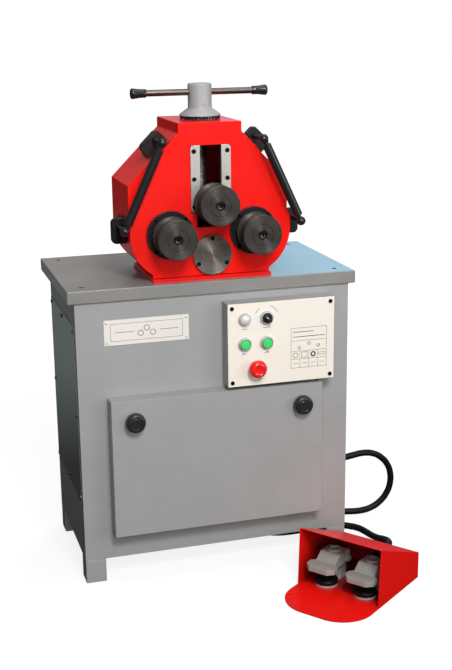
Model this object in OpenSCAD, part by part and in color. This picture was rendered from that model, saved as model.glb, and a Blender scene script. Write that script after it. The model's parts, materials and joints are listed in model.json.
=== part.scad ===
// Three-roll angle and tube bender on a sheet-metal cabinet, with a foot switch.
// Frame: X to the right, Y to the back, Z up, origin on the floor at the centre of the four legs.

/* [Table] */
// Width of the table top
table_w = 650; // [630:1:700]
// Depth of the table top
table_d = 384; // [370:1:420]
// Height of the working face above the floor
table_h = 672; // [650:1:720]
// Thickness of the top sheet
table_t = 6; // [4:0.5:10]
// Height of the folded apron
apron_h = 28; // [20:1:36]
// Thickness of the apron
apron_t = 3; // [2:0.5:4]
// Radius of the fixing holes at the corners
table_hole_r = 5.5; // [4:0.5:8]
// Distance of the fixing holes from the table's edges
table_hole_inset = 37; // [30:1:50]

/* [Cabinet] */
// Overhang of the table at each side
side_overhang = 15; // [10:1:25]
// Overhang of the table in front
front_overhang = 5; // [4:0.5:10]
// Overhang of the table behind
back_overhang = 42; // [25:1:50]
// Thickness of the cabinet's sheet
sheet_t = 2; // [1.5:0.25:3]
// Width of the flange folded in round the top
top_flange_w = 22; // [16:1:23]
// Height of the legs
leg_h = 55; // [40:1:70]
// Width of a square leg
leg_w = 46; // [38:1:56]
// Wall of a leg
leg_wall = 3; // [2:0.5:5]
// Thickness of a leg's floor plate
leg_foot_t = 6; // [4:0.5:10]
// Radius of the anchor hole in a leg's floor plate
anchor_r = 6; // [4:0.5:8]

/* [Side covers] */
// Width of a side cover, front to back
side_cover_w = 318; // [290:1:325]
// Height of a side cover
side_cover_h = 400; // [360:1:420]
// Height of its lower edge above the cabinet's bottom
side_cover_rise = 136; // [120:1:150]
// Thickness of a side cover
side_cover_t = 2; // [1.5:0.25:3]
// Overlap of the cover over its opening
side_cover_lap = 26; // [22:1:40]
// Distance of the cover's screws from its edges
side_screw_inset = 11; // [9:0.5:14]

/* [Control box] */
// Width of the control plate
control_w = 246; // [220:1:260]
// Height of the control plate
control_h = 186; // [176:1:200]
// Depth of the box in front of the cabinet
control_d = 40; // [34:1:50]
// Place of the plate's middle to the right of the cabinet's middle
control_x = 137; // [120:1:150]
// Gap between the apron and the control box
control_top_gap = 18; // [10:1:24]
// Thickness of the control plate
control_plate_t = 2; // [1.5:0.25:3]
// Width of a corner post inside the box
post_w = 16; // [14:1:20]
// Distance of the first operators from the plate's left edge
operator_inset = 38; // [34:1:42]
// Distance between the two columns of operators
operator_pitch = 50; // [46:1:56]
// Distance of the lamp and selector from the plate's top
operator_row_1 = 35; // [30:1:38]
// Distance of the push buttons from the plate's top
operator_row_2 = 91; // [84:1:94]
// Distance of the emergency stop from the plate's top
operator_row_3 = 145; // [138:1:150]
// Radius of a button's bezel
bezel_r = 15; // [14:0.5:16]
// Height of a bezel above the plate
bezel_h = 8; // [6:0.5:10]
// Radius of a button's cap
button_r = 10.5; // [9:0.25:11]
// Travel of a push button
button_travel = 4; // [3:0.5:5]
// Radius of the emergency stop's head
stop_r = 20; // [17:0.5:22]
// Travel of the emergency stop
stop_travel = 5; // [4:0.5:6]

/* [Front cover] */
// Width of the front cover
door_w = 482; // [450:1:500]
// Depth of the cover's tray
door_d = 38; // [30:1:44]
// Place of the cover's middle to the right of the cabinet's middle
door_x = -6; // [-12:1:0]
// Gap between the cabinet's bottom and the cover
door_rise = 63; // [50:1:80]
// Gap between the cover and the control box
door_top_gap = 9; // [6:1:14]
// Thickness of the cover's sheet
door_t = 1.5; // [1:0.25:2.5]
// Width of the flange folded in round the cover's back
door_return = 14; // [12:1:20]
// Distance between the two knobs
knob_pitch = 382; // [360:1:400]
// Distance of the knobs from the cover's top
knob_drop = 46; // [40:1:60]
// Radius of a knob
knob_r = 21.5; // [18:0.5:25]
// Height of a knob
knob_h = 24; // [18:0.5:30]
// Radius of a knob's stud
stud_r = 4; // [3:0.25:5]

/* [Name plate] */
// Width of the bare name plate
name_w = 187; // [160:1:200]
// Height of the name plate
name_h = 56; // [48:1:64]
// Thickness of the name plate
name_t = 1; // [0.5:0.25:2]
// Gap between the apron and the name plate
name_top_gap = 41; // [30:1:50]
// Distance of the name plate's left edge from the cabinet's side
name_inset = 61; // [50:1:70]

/* [Head] */
// Distance of the head's front from the table's front
head_setback = 30; // [22:1:40]
// Height of the head above the table
head_h = 337.5; // [330:0.5:350]
// Width of the front plate at its widest
head_w = 360; // [356:1:370]
// Width of the head's top
head_top_w = 140; // [130:1:150]
// Height of the upright shoulder under the top
shoulder_h = 21.5; // [16:0.5:26]
// Run of the front plate's corner chamfer
flank_run = 37; // [32:1:42]
// Height of the flank's lower end above the table
flank_foot_h = 128; // [120:1:136]
// Radius of the round lower corners
arc_r = 102; // [100:1:104]
// Height of the lower corners' centres above the table
arc_h = 103; // [101:0.5:105]
// Height where the round corners meet the foot
toe_h = 16; // [14:0.5:18]
// Thickness of the foot flange
foot_t = 8; // [6:0.25:8]
// Width of the foot flange beyond the round corners
foot_lip = 8; // [6:0.5:10]
// Thickness of the front plate
plate_t = 16; // [14:0.5:20]
// Depth of the gear case behind the plate
case_d = 174; // [170:1:184]
// Wall of the gear case
case_wall = 12; // [10:0.5:13]
// Thickness of the gear case's back
case_back_t = 14; // [12:0.5:16]
// Step of the case inside the plate's edge
case_step = 2; // [1:0.5:3]
// Width of the joint face between case and plate
case_flange = 15; // [13:0.5:15]

/* [Rolls] */
// Distance between the two lower rolls
roll_pitch = 186; // [180:1:190]
// Height of the lower rolls' axes above the table
roll_h = 102; // [101:0.5:104]
// Height of the upper roll's axis above the table, at rest
upper_h = 169; // [166:0.5:174]
// Radius of a roll
roll_r = 43; // [41:0.5:45]
// Width of a roll
roll_w = 56; // [52:0.5:58]
// Reach of the rolls in front of the head
roll_reach = 74; // [74:0.5:80]
// Radius of the tube groove
groove_r = 13.5; // [10:0.5:15]
// Depth of the tube groove
groove_depth = 11.5; // [8:0.5:12]
// Distance of the groove's middle from the roll's front
groove_back = 33; // [30:0.5:36]
// Radius of a roll shaft
shaft_r = 15; // [14:0.5:16]
// Radius of the shaft's rear journal
journal_r = 12.5; // [11:0.5:13]
// Radius of a roll's end cap
cap_r = 23; // [20:0.5:26]
// Thickness of a roll's end cap
cap_t = 8; // [7:0.5:10]
// Radius of a lower roll's bearing cap
bearing_cap_r = 52; // [48:0.5:54]
// Thickness of a bearing cap
bearing_cap_t = 16; // [14:0.5:16]

/* [Drive] */
// Module of the gears
gear_module = 3; // [2.9:0.05:3.05]
// Teeth of the drive gear
drive_teeth = 26; // [24:1:26]
// Teeth of a roll gear
roll_teeth = 44; // [43:1:45]
// Width of the gears
gear_w = 30; // [24:1:34]
// Thinning of each tooth flank, for backlash
flank_thin = 0.1; // [0.08:0.01:0.2]
// Radius of the drive shaft
drive_r = 12.5; // [11:0.5:13]
// Radius of the drive shaft's front cover
drive_cover_r = 43; // [40:0.5:45]
// Thickness of the drive shaft's front cover
drive_cover_t = 8; // [7:0.5:10]

/* [Slide and screw] */
// Distance of the screw's axis behind the head's front
screw_setback = 78; // [74:0.5:84]
// Radius of the lead screw
screw_r = 12; // [10:0.5:13]
// Half width of the slot between the rails
rail_gap_half = 23.5; // [20:0.5:24]
// Width of a guide rail
rail_w = 21; // [19:0.5:22]
// Length of a guide rail
rail_l = 143.5; // [138:0.5:146]
// Thickness of a guide rail
rail_t = 8; // [7:0.5:9]
// Height of a rail above the plate's face
rail_proud = 2; // [1:0.25:3]
// Distance of the rails' tops below the head's top
rail_drop = 48; // [44:0.5:52]
// Distance between a rail's screws
rail_screw_pitch = 59; // [55:0.5:62]
// Half width of the slide's way in the plate
way_half = 31; // [29:0.25:31.5]
// Height of the slide block
slide_h = 60; // [56:0.5:62]
// Depth of the slide block behind the screw's axis
slide_back = 26; // [22:0.5:30]
// Downward travel of the slide
travel_down = 24; // [18:1:24]
// Radius of the hub
hub_r = 26; // [24:0.5:30]
// Radius of the hub's flared foot
flare_r = 45; // [42:0.5:48]
// Height of the hub
hub_h = 68.5; // [62:0.5:76]
// Height of the hub's flare
flare_h = 16.5; // [12:0.5:20]
// Thickness of the scale ring
scale_t = 8; // [6:0.5:10]
// Height of the bar's axis above the hub's foot
bar_rise = 50; // [46:0.5:54]
// Radius of the tommy bar
bar_r = 7; // [6:0.25:8]
// Length of the tommy bar over its ends
bar_l = 304; // [280:1:340]
// Length of a bar end
bar_end_l = 33; // [28:0.5:40]
// Radius of a bar end at its tip
bar_end_r = 11.5; // [10:0.5:13]

/* [Side bars] */
// Radius of a side bar
side_bar_r = 9.5; // [8:0.5:11]
// Reach of the pins in front of the brackets
pin_reach = 64; // [58:1:70]
// Radius of a pin
pin_r = 5; // [4:0.25:6]
// Radius of the ball at each end of a bar
ball_r = 10; // [9:0.5:11]
// Thickness of a bracket
bracket_t = 12; // [10:0.5:14]
// Standing height of a bracket
bracket_h = 34; // [32:0.5:38]
// Length of a bracket
bracket_l = 56; // [52:0.5:60]
// Distance of the brackets behind the head's front
bracket_setback = 38; // [34:0.5:44]
// Distance of a pin out of the case's face
pin_out = 18; // [17:0.5:19]
// Distance of a pin from the bracket's end
pin_inset = 19; // [17:0.5:22]
// Height of the lower pins above the table
lower_pin_h = 119; // [115:0.5:124]
// Place of the upper pins along the case's sloping face
upper_pin_run = 40; // [37:0.5:44]

/* [Motor and gearbox] */
// Width of the gearbox
gearbox_w = 130; // [120:1:140]
// Depth of the gearbox
gearbox_d = 100; // [90:1:110]
// Height of the gearbox above the table
gearbox_h = 120; // [110:1:130]
// Distance between output shaft and motor axis
worm_pitch = 50; // [45:1:56]
// Radius of the neck through the table
neck_r = 48; // [44:1:50]
// Radius of the motor
motor_r = 58; // [52:1:60]
// Length of the motor
motor_l = 210; // [180:1:240]

/* [Foot switch] */
// Place of the hood's front, to the right of the origin
pedal_x = 199; // [180:1:220]
// Place of the hood's front, in front of the origin
pedal_y = -399; // [-420:1:-390]
// Turn of the foot switch about the upright axis
pedal_turn = -52.5; // [-60:0.5:-45]
// Width of the hood
hood_w = 204; // [190:1:210]
// Depth of the hood
hood_d = 184; // [175:1:200]
// Height of the hood's mouth
hood_front_h = 134; // [125:1:145]
// Height of the hood's back
hood_back_h = 61; // [56:1:70]
// Backward lean of the hood's mouth at its top
hood_lean = 8; // [0:0.5:14]
// Thickness of the hood's sheet
hood_t = 2; // [1.5:0.25:3]
// Thickness of the floor plate
floor_t = 3; // [2:0.25:4]
// Length of the rounded tongue in front
tongue_l = 105; // [95:1:115]
// Radius of the tongue's corners
tongue_r = 75; // [60:1:80]
// Distance between the two pedals
pedal_pitch = 97; // [92:1:100]
// Width of a pedal's tread
tread_w = 71; // [64:1:74]
// Depth of a pedal's tread
tread_d = 42; // [36:1:46]
// Thickness of a pedal's tread
tread_t = 12; // [10:0.5:14]
// Chamfer of a tread's corners
tread_chamfer = 13; // [8:0.5:18]
// Height of a tread's underside above the floor plate
tread_rise = 41; // [40:0.5:44]
// Radius of the round base under a tread
pedal_base_r = 25; // [22:0.5:28]
// Distance of the hinge behind the hood's mouth
pedal_hinge_y = 84; // [80:1:88]
// Height of the hinge above the floor plate
pedal_hinge_h = 51; // [48:0.5:54]
// Radius of the hinge pin
pedal_pin_r = 4; // [3:0.25:5]

/* [Cable] */
// Radius of the cable's hose
cable_r = 8; // [7:0.25:8]
// Height of the cable's gland above the floor
gland_h = 156; // [150:1:160]
// Length of a cable gland
gland_l = 30; // [26:1:36]

/* [Hidden] */
$fn = 64;

// Clearances and the overrun of every cut
over = 1;
run_gap = 0.05;
slide_gap = 0.3;
rest_gap = 0.3;
free_gap = 1;

// Colours
grey = [0.60, 0.61, 0.61];
dark_grey = [0.36, 0.37, 0.38];
red = [0.86, 0.07, 0.05];
black = [0.09, 0.09, 0.10];
steel = [0.72, 0.72, 0.72];
dark_steel = [0.22, 0.22, 0.23];
cream = [0.90, 0.89, 0.82];
cast_grey = [0.58, 0.56, 0.52];
green = [0.10, 0.62, 0.25];
stop_red = [0.85, 0.05, 0.05];
table_grey = [0.66, 0.67, 0.67];
white = [0.92, 0.92, 0.90];
silver = [0.66, 0.68, 0.69];
bronze = [0.70, 0.52, 0.25];

// Cabinet
cab_x = table_w / 2 - side_overhang;
cab_d = table_d - front_overhang - back_overhang;
cab_front = -cab_d / 2;
cab_back = cab_d / 2;
cab_z0 = leg_h;
cab_z1 = table_h - table_t;
table_front = cab_front - front_overhang;
table_mid_y = table_front + table_d / 2;
leg_x = cab_x - leg_w / 2;
leg_y = cab_d / 2 - leg_w / 2;

// Fasteners: M4 panel screws and M6 cap screws
panel_screw_r = 2;
panel_head_r = 4.5;
panel_head_h = 2.5;
panel_screw_l = 5;
cap_screw_r = 3;
cap_head_r = 5;
cap_head_h = 6;
cap_screw_l = 8;
hex_share = 0.58;

// Side covers
side_cover_z0 = cab_z0 + side_cover_rise;
side_screw_y = side_cover_w / 2 - side_screw_inset;
side_screw_z = side_cover_h / 2 - side_screw_inset;
side_screw_places = [
    for (y = [-side_screw_y, 0, side_screw_y], z = [-side_screw_z, 0, side_screw_z])
    if (y != 0 || z != 0) [y, z + side_cover_z0 + side_cover_h / 2]
];

// Control box
control_z1 = table_h - apron_h - control_top_gap;
control_z0 = control_z1 - control_h;
control_z = control_z0 + control_h / 2;
control_wall = 1.5;
control_lap = 20;
control_face = cab_front - control_d;
plate_face = control_face - control_plate_t;
operator_x1 = control_x - control_w / 2 + operator_inset;
operator_x2 = operator_x1 + operator_pitch;
lamp_at = [operator_x1, control_z1 - operator_row_1];
selector_at = [operator_x2, control_z1 - operator_row_1];
left_button_at = [operator_x1, control_z1 - operator_row_2];
right_button_at = [operator_x2, control_z1 - operator_row_2];
stop_at = [(operator_x1 + operator_x2) / 2, control_z1 - operator_row_3];
sleeve_r = 11;
sleeve_l = 24;
stem_r = 8;
stem_l = 22;
block_w = 30;
block_l = 26;
lens_share = 1.5;
dome_share = 1.5;
stop_head_l = 14;
grip_w = 7;
grip_h = 8;
grip_turn = 30;
control_screw_x = control_w / 2 - post_w / 2 - control_wall;
control_screw_z = control_h / 2 - post_w / 2 - control_wall;
control_screw_places = [
    for (x = [-1, 1], z = [-1, 1]) [control_x + x * control_screw_x, control_z + z * control_screw_z]
];

// Front cover
door_z0 = cab_z0 + door_rise;
door_z1 = control_z0 - door_top_gap;
door_face = cab_front - door_d;
door_lap_x = 75;
door_lap_top = 70;
door_lap_low = 30;
knob_z = door_z1 - knob_drop;
knob_places = [door_x - knob_pitch / 2, door_x + knob_pitch / 2];
stud_end = 10;
locator_r = 3;
locator_l = 6;

// Head
head_front = table_front + head_setback;
head_z1 = table_h + head_h;
plate_back = head_front + plate_t;
case_back = plate_back + case_d;
foot_z = table_h + foot_t;
head_half = head_w / 2;
top_half = head_top_w / 2;
case_half = head_half - case_step;
arc_x = head_half - arc_r;
arc_z = table_h + arc_h;
toe_z = table_h + toe_h;
foot_half = arc_x + sqrt(pow(arc_r, 2) - pow(arc_z - toe_z, 2)) + case_step;
slope_sum = top_half + head_z1 - shoulder_h;
flank_x = top_half + flank_run;
flank_top = [flank_x, slope_sum - flank_x];
flank_foot = [head_half, table_h + flank_foot_h];
flank_vec = flank_top - flank_foot;
flank_n = [flank_vec[1], -flank_vec[0]] / norm(flank_vec);

// Rolls and drive
roll_x = roll_pitch / 2;
roll_z = table_h + roll_h;
upper_z = table_h + upper_h;
roll_front = head_front - roll_reach;
roll_back = roll_front + roll_w;
gear_pitch = gear_module * (drive_teeth + roll_teeth) / 2;
drive_z = roll_z - sqrt(pow(gear_pitch, 2) - pow(roll_x, 2));
pressure_angle = 20;
root_depth = 1.25;
flank_shares = [0, 0.2, 0.4, 0.6, 0.8, 1];
front_race_r = 31;
rear_race_r = 26;
rear_race_w = 16;
rear_boss_r = 34;
rear_boss_t = 10;
rear_race_y = case_back - case_back_t - rear_boss_t;
gear_back_gap = 16;
gear_y1 = rear_race_y - gear_back_gap;
gear_y0 = gear_y1 - gear_w;
shaft_end_gap = 0.5;
collar_r = 20;
cap_nose_r = 40;
cap_flange_t = 10;
cap_screw_circle = 46;
cap_bolt_r = 5;
cap_bolt_head_r = 9;
cap_bolt_head_h = 6;
cap_bolt_l = 30;
roll_chamfer = 1.5;
cover_screw_circle = 36.5;
right_mesh = atan2(roll_z - drive_z, roll_x);

// Slide and screw
screw_y = head_front + screw_setback;
rail_z1 = head_z1 - rail_drop;
rail_z0 = rail_z1 - rail_l;
rail_front = head_front - rail_proud;
rail_back = rail_front + rail_t;
rail_round = 7;
rail_mid = rail_gap_half + rail_w / 2;
rail_screw_shift = 3;
way_depth = 36;
way_wall = 12;
way_z0 = upper_z - slide_h / 2 - travel_down - free_gap;
way_z1 = rail_z1 + slide_gap;
slide_y1 = screw_y + slide_back;
slide_neck_y = rail_front - cap_head_h;
slide_nose_r = slide_h / 2;
slide_nose_t = 8;
nut_wall = 8;
upper_bore_end = screw_y - screw_r - nut_wall;
screw_z0 = upper_z - slide_h / 2 - cap_head_h;
bush_r = 17;
roof_t = max(case_wall, case_flange);
bush_z0 = head_z1 - roof_t;
thrust_r = 20;
thrust_t = 8;
scale_bore_r = 18;
hub_z0 = head_z1 + scale_t + rest_gap;
hub_rim = 3;
hub_edge = 2;
screw_z1 = hub_z0 + bar_rise - bar_r - hub_edge - hub_rim;
bar_z = hub_z0 + bar_rise;
bar_plug_share = 0.4;
bar_half = bar_l / 2 - bar_end_l * bar_plug_share;
bar_neck_share = 0.83;

// Side bars
bracket_y = head_front + bracket_setback;
bracket_round = 11;
bracket_foot_t = 8;
bracket_foot_l = 40;
bar_y = bracket_y - pin_reach;
upper_pin = [
    top_half + (upper_pin_run + pin_out) / sqrt(2),
    slope_sum - top_half + (pin_out - upper_pin_run) / sqrt(2)
];
lower_pin = [case_half + pin_out, table_h + lower_pin_h];
side_bar_lean = atan2(upper_pin[0] - lower_pin[0], upper_pin[1] - lower_pin[1]);
side_bar_l = norm(upper_pin - lower_pin);
side_bar_neck = 15;
side_bar_neck_r = 5;

// Motor and gearbox
gearbox_mid_y = case_back + gearbox_d / 2;
neck_l = 34;
motor_z1 = table_h - neck_l;
motor_flange_r = 66;
motor_flange_t = 12;
fin_count = 28;
fin_t = 2.5;
fin_h = 6;
fan_l = 48;
terminal_w = 70;
terminal_d = 34;
terminal_h = 80;
worm_cap_r = 40;
worm_cap_t = 10;
gearbox_round = 18;

// Electrical plate on the cabinet's back
panel_w = 240;
panel_h = 260;
panel_x = -150;
panel_z = 330;
panel_t = 3;
panel_stand = 8;
contactor_w = 46;
contactor_h = 86;
contactor_d = 80;
contactor_count = 3;
contactor_pitch = 64;
contactor_lift = 50;
transformer_w = 90;
transformer_h = 74;
transformer_d = 76;
transformer_drop = 66;

// Foot switch
hood_slope = (hood_front_h - hood_back_h) / (hood_d - hood_lean);
tread_z0 = floor_t + tread_rise;
tread_y0 = -4;
tread_lap = 9;
pedal_base_y = 36;
pedal_base_h = 14;
bumper_r = 16;
bumper_h = 16;
hinge_z = floor_t + pedal_hinge_h;
post_half = 15;
post_y0 = 72;
post_l = 24;
post_top = 8;
cheek_t = 9;
cheek_gap = 0.5;
cheek_in = post_half + cheek_gap;
cheek_out = cheek_in + cheek_t;
cheek_rear = 14;
saddle_t = 7;
saddle_gap = 3.5;
cheek_top = pedal_hinge_h + floor_t + post_top + saddle_gap;
body_top = cheek_top + saddle_t;
body_run = 12;
rear_chamfer = 8;
cup_r = 15;
cup_wall = 4;
cup_h = 5;
cup_depth = 7;
cup_y = pedal_hinge_y - cup_r;
boss_r = 9;
boss_t = 4;
boss_half = cheek_out + boss_t;
pin_nut_r = 7;
pin_nut_t = 3;

// Cable: the route's points lie on the floor, or hang between the cabinet's gland and the floor
cable_sides = 10;
gland_nut_r = 16;
gland_nut_l = 12;
gland_body_r = 13;
hood_gland_l = 20;
hood_gland_h = 30;
cable_route = [
    [340, 0, 156], [368, 0, 156], [397, 0, 160], [425, 0, 163], [452, 0, 159], [475, 0, 146],
    [493, 0, 125], [502, 0, 100], [502, 0, 72], [493, 0, 47], [475, 0, 26], [452, 0, 13], [425, 0, 8],
    [388, 5, 8], [350, 19, 8], [312, 38, 8], [275, 57, 8], [238, 71, 8], [200, 76, 8], [170, 69, 8],
    [145, 50, 8], [132, 22, 8], [132, -10, 8], [145, -38, 8], [170, -57, 8], [200, -64, 8], [239, -64, 8],
    [278, -64, 8], [316, -64, 8], [340, -68, 8], [360, -80, 8], [376, -98, 8], [384, -121, 8],
    [389, -148, 9], [393, -174, 13], [398, -200, 20], [397, -226, 26], [388, -248, 29], [372, -266.2, 30],
    [360.8, -274.8, 30]
];

// Helpers: shapes along Y, and plates drawn in the XZ plane
module y_cyl(r, l) {
    rotate([-90, 0, 0]) cylinder(h = l, r = r);
}

module y_ring(r_out, r_in, l) {
    difference() {
        y_cyl(r_out, l);
        translate([0, -over, 0]) y_cyl(r_in, l + 2 * over);
    }
}

module y_revolve() {
    rotate([-90, 0, 0]) rotate_extrude() children();
}

module xz_plate(t) {
    translate([0, t, 0]) rotate([90, 0, 0]) linear_extrude(t) children();
}

module box(low, high) {
    translate(low) cube(high - low);
}

module round_rect(w, h, r) {
    translate([r, 0]) square([w - 2 * r, h]);
    translate([0, r]) square([w, h - 2 * r]);
    for (x = [r, w - r], y = [r, h - r]) translate([x, y]) circle(r);
}

module both_sides() {
    children();
    mirror([1, 0, 0]) children();
}

// A cap screw along +Y, its head's face at the origin
module cap_screw(r, head_r, head_h, l) {
    difference() {
        union() {
            y_cyl(head_r, head_h);
            y_cyl(r, head_h + l);
        }
        translate([0, -over, 0]) rotate([-90, 0, 0])
            cylinder(h = over + head_h / 2, r = head_r * hex_share, $fn = 6);
    }
}

// Cuts a counterbored hole for that screw
module cap_screw_hole(r, head_r, head_h, l) {
    translate([0, -over, 0]) y_cyl(head_r, head_h + over);
    y_cyl(r, head_h + l);
}

// Cabinet
module cabinet_shell() {
    color(grey) difference() {
        box([-cab_x, cab_front, cab_z0], [cab_x, cab_back, cab_z1]);
        box([-cab_x + sheet_t, cab_front + sheet_t, cab_z0 + sheet_t],
            [cab_x - sheet_t, cab_back - sheet_t, cab_z1 - sheet_t]);
        box([-cab_x + top_flange_w, cab_front + top_flange_w, cab_z0 + leg_h],
            [cab_x - top_flange_w, cab_back - top_flange_w, cab_z1 + over]);
        // Door opening, stud holes and locator holes
        box([door_x - door_w / 2 + door_lap_x, cab_front - over, door_z0 + door_lap_low],
            [door_x + door_w / 2 - door_lap_x, cab_front + sheet_t + over, door_z1 - door_lap_top]);
        for (x = knob_places) {
            translate([x, cab_front - over, knob_z]) y_cyl(stud_r + slide_gap, sheet_t + 2 * over);
            translate([x, cab_front - over, door_z0 + door_return / 2])
                y_cyl(locator_r + run_gap, sheet_t + 2 * over);
        }
        // Opening behind the control box
        box([control_x - control_w / 2 + control_lap, cab_front - over, control_z0 + control_lap],
            [control_x + control_w / 2 - control_lap, cab_front + sheet_t + over, control_z1 - control_lap]);
        // Openings behind the side covers and the covers' screw holes
        for (x = [-cab_x - over, cab_x - sheet_t - over])
            box([x, -side_cover_w / 2 + side_cover_lap, side_cover_z0 + side_cover_lap],
                [x + sheet_t + 2 * over, side_cover_w / 2 - side_cover_lap,
                 side_cover_z0 + side_cover_h - side_cover_lap]);
        for (p = side_screw_places) translate([-cab_x - over, p[0], p[1]])
            rotate([0, 90, 0]) cylinder(h = 2 * cab_x + 2 * over, r = panel_screw_r);
        translate([cab_x - sheet_t - over, 0, gland_h])
            rotate([0, 90, 0]) cylinder(h = sheet_t + 2 * over, r = gland_nut_r - sheet_t);
    }
}

module legs() {
    color(grey) for (x = [-leg_x, leg_x], y = [-leg_y, leg_y]) translate([x, y, 0]) difference() {
        box([-leg_w / 2, -leg_w / 2, 0], [leg_w / 2, leg_w / 2, leg_h]);
        box([-leg_w / 2 + leg_wall, -leg_w / 2 + leg_wall, leg_foot_t],
            [leg_w / 2 - leg_wall, leg_w / 2 - leg_wall, leg_h + over]);
        translate([0, 0, -over]) cylinder(h = leg_foot_t + 2 * over, r = anchor_r);
    }
}

module table_top() {
    hole_x = table_w / 2 - table_hole_inset;
    hole_y = table_d / 2 - table_hole_inset;
    color(table_grey) translate([0, table_mid_y, 0]) difference() {
        box([-table_w / 2, -table_d / 2, table_h - apron_h], [table_w / 2, table_d / 2, table_h]);
        box([-table_w / 2 + apron_t, -table_d / 2 + apron_t, table_h - apron_h - over],
            [table_w / 2 - apron_t, table_d / 2 - apron_t, table_h - table_t]);
        for (x = [-hole_x, hole_x], y = [-hole_y, hole_y])
            translate([x, y, table_h - table_t - over]) cylinder(h = table_t + 2 * over, r = table_hole_r);
        translate([worm_pitch, gearbox_mid_y - table_mid_y, table_h - table_t - over])
            cylinder(h = table_t + 2 * over, r = neck_r + free_gap);
    }
}

module side_cover() {
    difference() {
        box([cab_x, -side_cover_w / 2, side_cover_z0],
            [cab_x + side_cover_t, side_cover_w / 2, side_cover_z0 + side_cover_h]);
        for (p = side_screw_places) translate([cab_x - over, p[0], p[1]])
            rotate([0, 90, 0]) cylinder(h = side_cover_t + 2 * over, r = panel_screw_r);
    }
}

module left_side_cover() {
    color(dark_grey) mirror([1, 0, 0]) side_cover();
}

module right_side_cover() {
    color(dark_grey) side_cover();
}

module side_cover_screws() {
    color(steel) both_sides() for (p = side_screw_places)
        translate([cab_x + side_cover_t, p[0], p[1]]) {
            rotate([0, 90, 0]) cylinder(h = panel_head_h, r = panel_head_r);
            rotate([0, -90, 0]) cylinder(h = panel_screw_l, r = panel_screw_r);
        }
}

module name_plate() {
    name_z = table_h - apron_h - name_top_gap - name_h;
    color(steel) box([-cab_x + name_inset, cab_front - name_t, name_z],
                     [-cab_x + name_inset + name_w, cab_front, name_z + name_h]);
}

// Control box and its operators
module control_box() {
    color(grey) difference() {
        box([control_x - control_w / 2, control_face, control_z0],
            [control_x + control_w / 2, cab_front, control_z1]);
        difference() {
            box([control_x - control_w / 2 + control_wall, control_face - over, control_z0 + control_wall],
                [control_x + control_w / 2 - control_wall, cab_front + over, control_z1 - control_wall]);
            for (p = control_screw_places)
                box([p[0] - post_w / 2, control_face, p[1] - post_w / 2],
                    [p[0] + post_w / 2, cab_front, p[1] + post_w / 2]);
        }
        for (p = control_screw_places)
            translate([p[0], control_face - over, p[1]]) y_cyl(panel_screw_r, panel_screw_l + over);
    }
}

module control_plate() {
    color(cream) difference() {
        box([control_x - control_w / 2, plate_face, control_z0],
            [control_x + control_w / 2, control_face, control_z1]);
        for (p = [lamp_at, selector_at, left_button_at, right_button_at, stop_at])
            translate([p[0], plate_face - over, p[1]]) y_cyl(sleeve_r, control_plate_t + 2 * over);
        for (p = control_screw_places)
            translate([p[0], plate_face - over, p[1]]) y_cyl(panel_screw_r, control_plate_t + 2 * over);
    }
}

module control_plate_screws() {
    color(steel) for (p = control_screw_places) translate([p[0], plate_face - panel_head_h, p[1]]) {
        y_cyl(panel_head_r, panel_head_h);
        y_cyl(panel_screw_r, panel_head_h + panel_screw_l);
    }
}

// A bezel with its sleeve through the plate, open for a stem
module bezel(at, h) {
    translate([at[0], plate_face - h, at[1]]) difference() {
        union() {
            y_cyl(bezel_r, h);
            y_cyl(sleeve_r, h + sleeve_l);
        }
        translate([0, -over, 0]) y_cyl(button_r + slide_gap, h + over);
        y_cyl(stem_r + run_gap, h + sleeve_l + over);
    }
}

module operator_bezels() {
    color(steel) {
        bezel(selector_at, bezel_h);
        bezel(left_button_at, bezel_h);
        bezel(right_button_at, bezel_h);
        bezel(stop_at, bezel_h);
    }
}

module power_lamp() {
    color(white) translate([lamp_at[0], plate_face, lamp_at[1]]) {
        translate([0, -bezel_h, 0]) y_cyl(bezel_r - free_gap, bezel_h);
        y_cyl(sleeve_r, sleeve_l);
        translate([0, -bezel_h, 0]) y_revolve() intersection() {
            translate([0, -button_r / 2]) square([button_r, button_r / 2]);
            translate([0, button_r]) circle(button_r * lens_share);
        }
    }
}

// A cap and its stem, sunk in a bezel so that it can travel
module push_button(at) {
    translate([at[0], plate_face, at[1]]) {
        translate([0, -bezel_h - button_travel / 4, 0]) y_cyl(button_r, bezel_h - button_travel);
        translate([0, -bezel_h, 0]) y_cyl(stem_r, bezel_h + stem_l - button_travel);
    }
}

module left_button() {
    color(green) push_button(left_button_at);
}

module right_button() {
    color(green) push_button(right_button_at);
}

module stop_button() {
    dome_r = stop_r * dome_share;
    color(stop_red) translate([stop_at[0], plate_face - bezel_h - stop_travel - rest_gap, stop_at[1]]) {
        translate([0, -stop_head_l, 0]) y_revolve() intersection() {
            square([stop_r, stop_head_l]);
            translate([0, dome_r]) circle(dome_r);
        }
        y_cyl(stem_r, rest_gap + bezel_h + stem_l);
    }
}

module selector_knob() {
    color(black) translate([selector_at[0], plate_face - bezel_h, selector_at[1]]) {
        translate([0, -control_plate_t, 0]) y_cyl(button_r, bezel_h);
        y_cyl(stem_r, bezel_h + stem_l);
        rotate([0, grip_turn, 0]) box([-grip_w / 2, -control_plate_t - grip_h, -button_r + over],
                                      [grip_w / 2, -control_plate_t, button_r - over]);
    }
}

module contact_blocks() {
    color(black) for (p = [lamp_at, selector_at, left_button_at, right_button_at, stop_at])
        translate([p[0], plate_face + sleeve_l, p[1]])
            box([-block_w / 2, 0, -block_w / 2], [block_w / 2, block_l, block_w / 2]);
}

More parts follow.
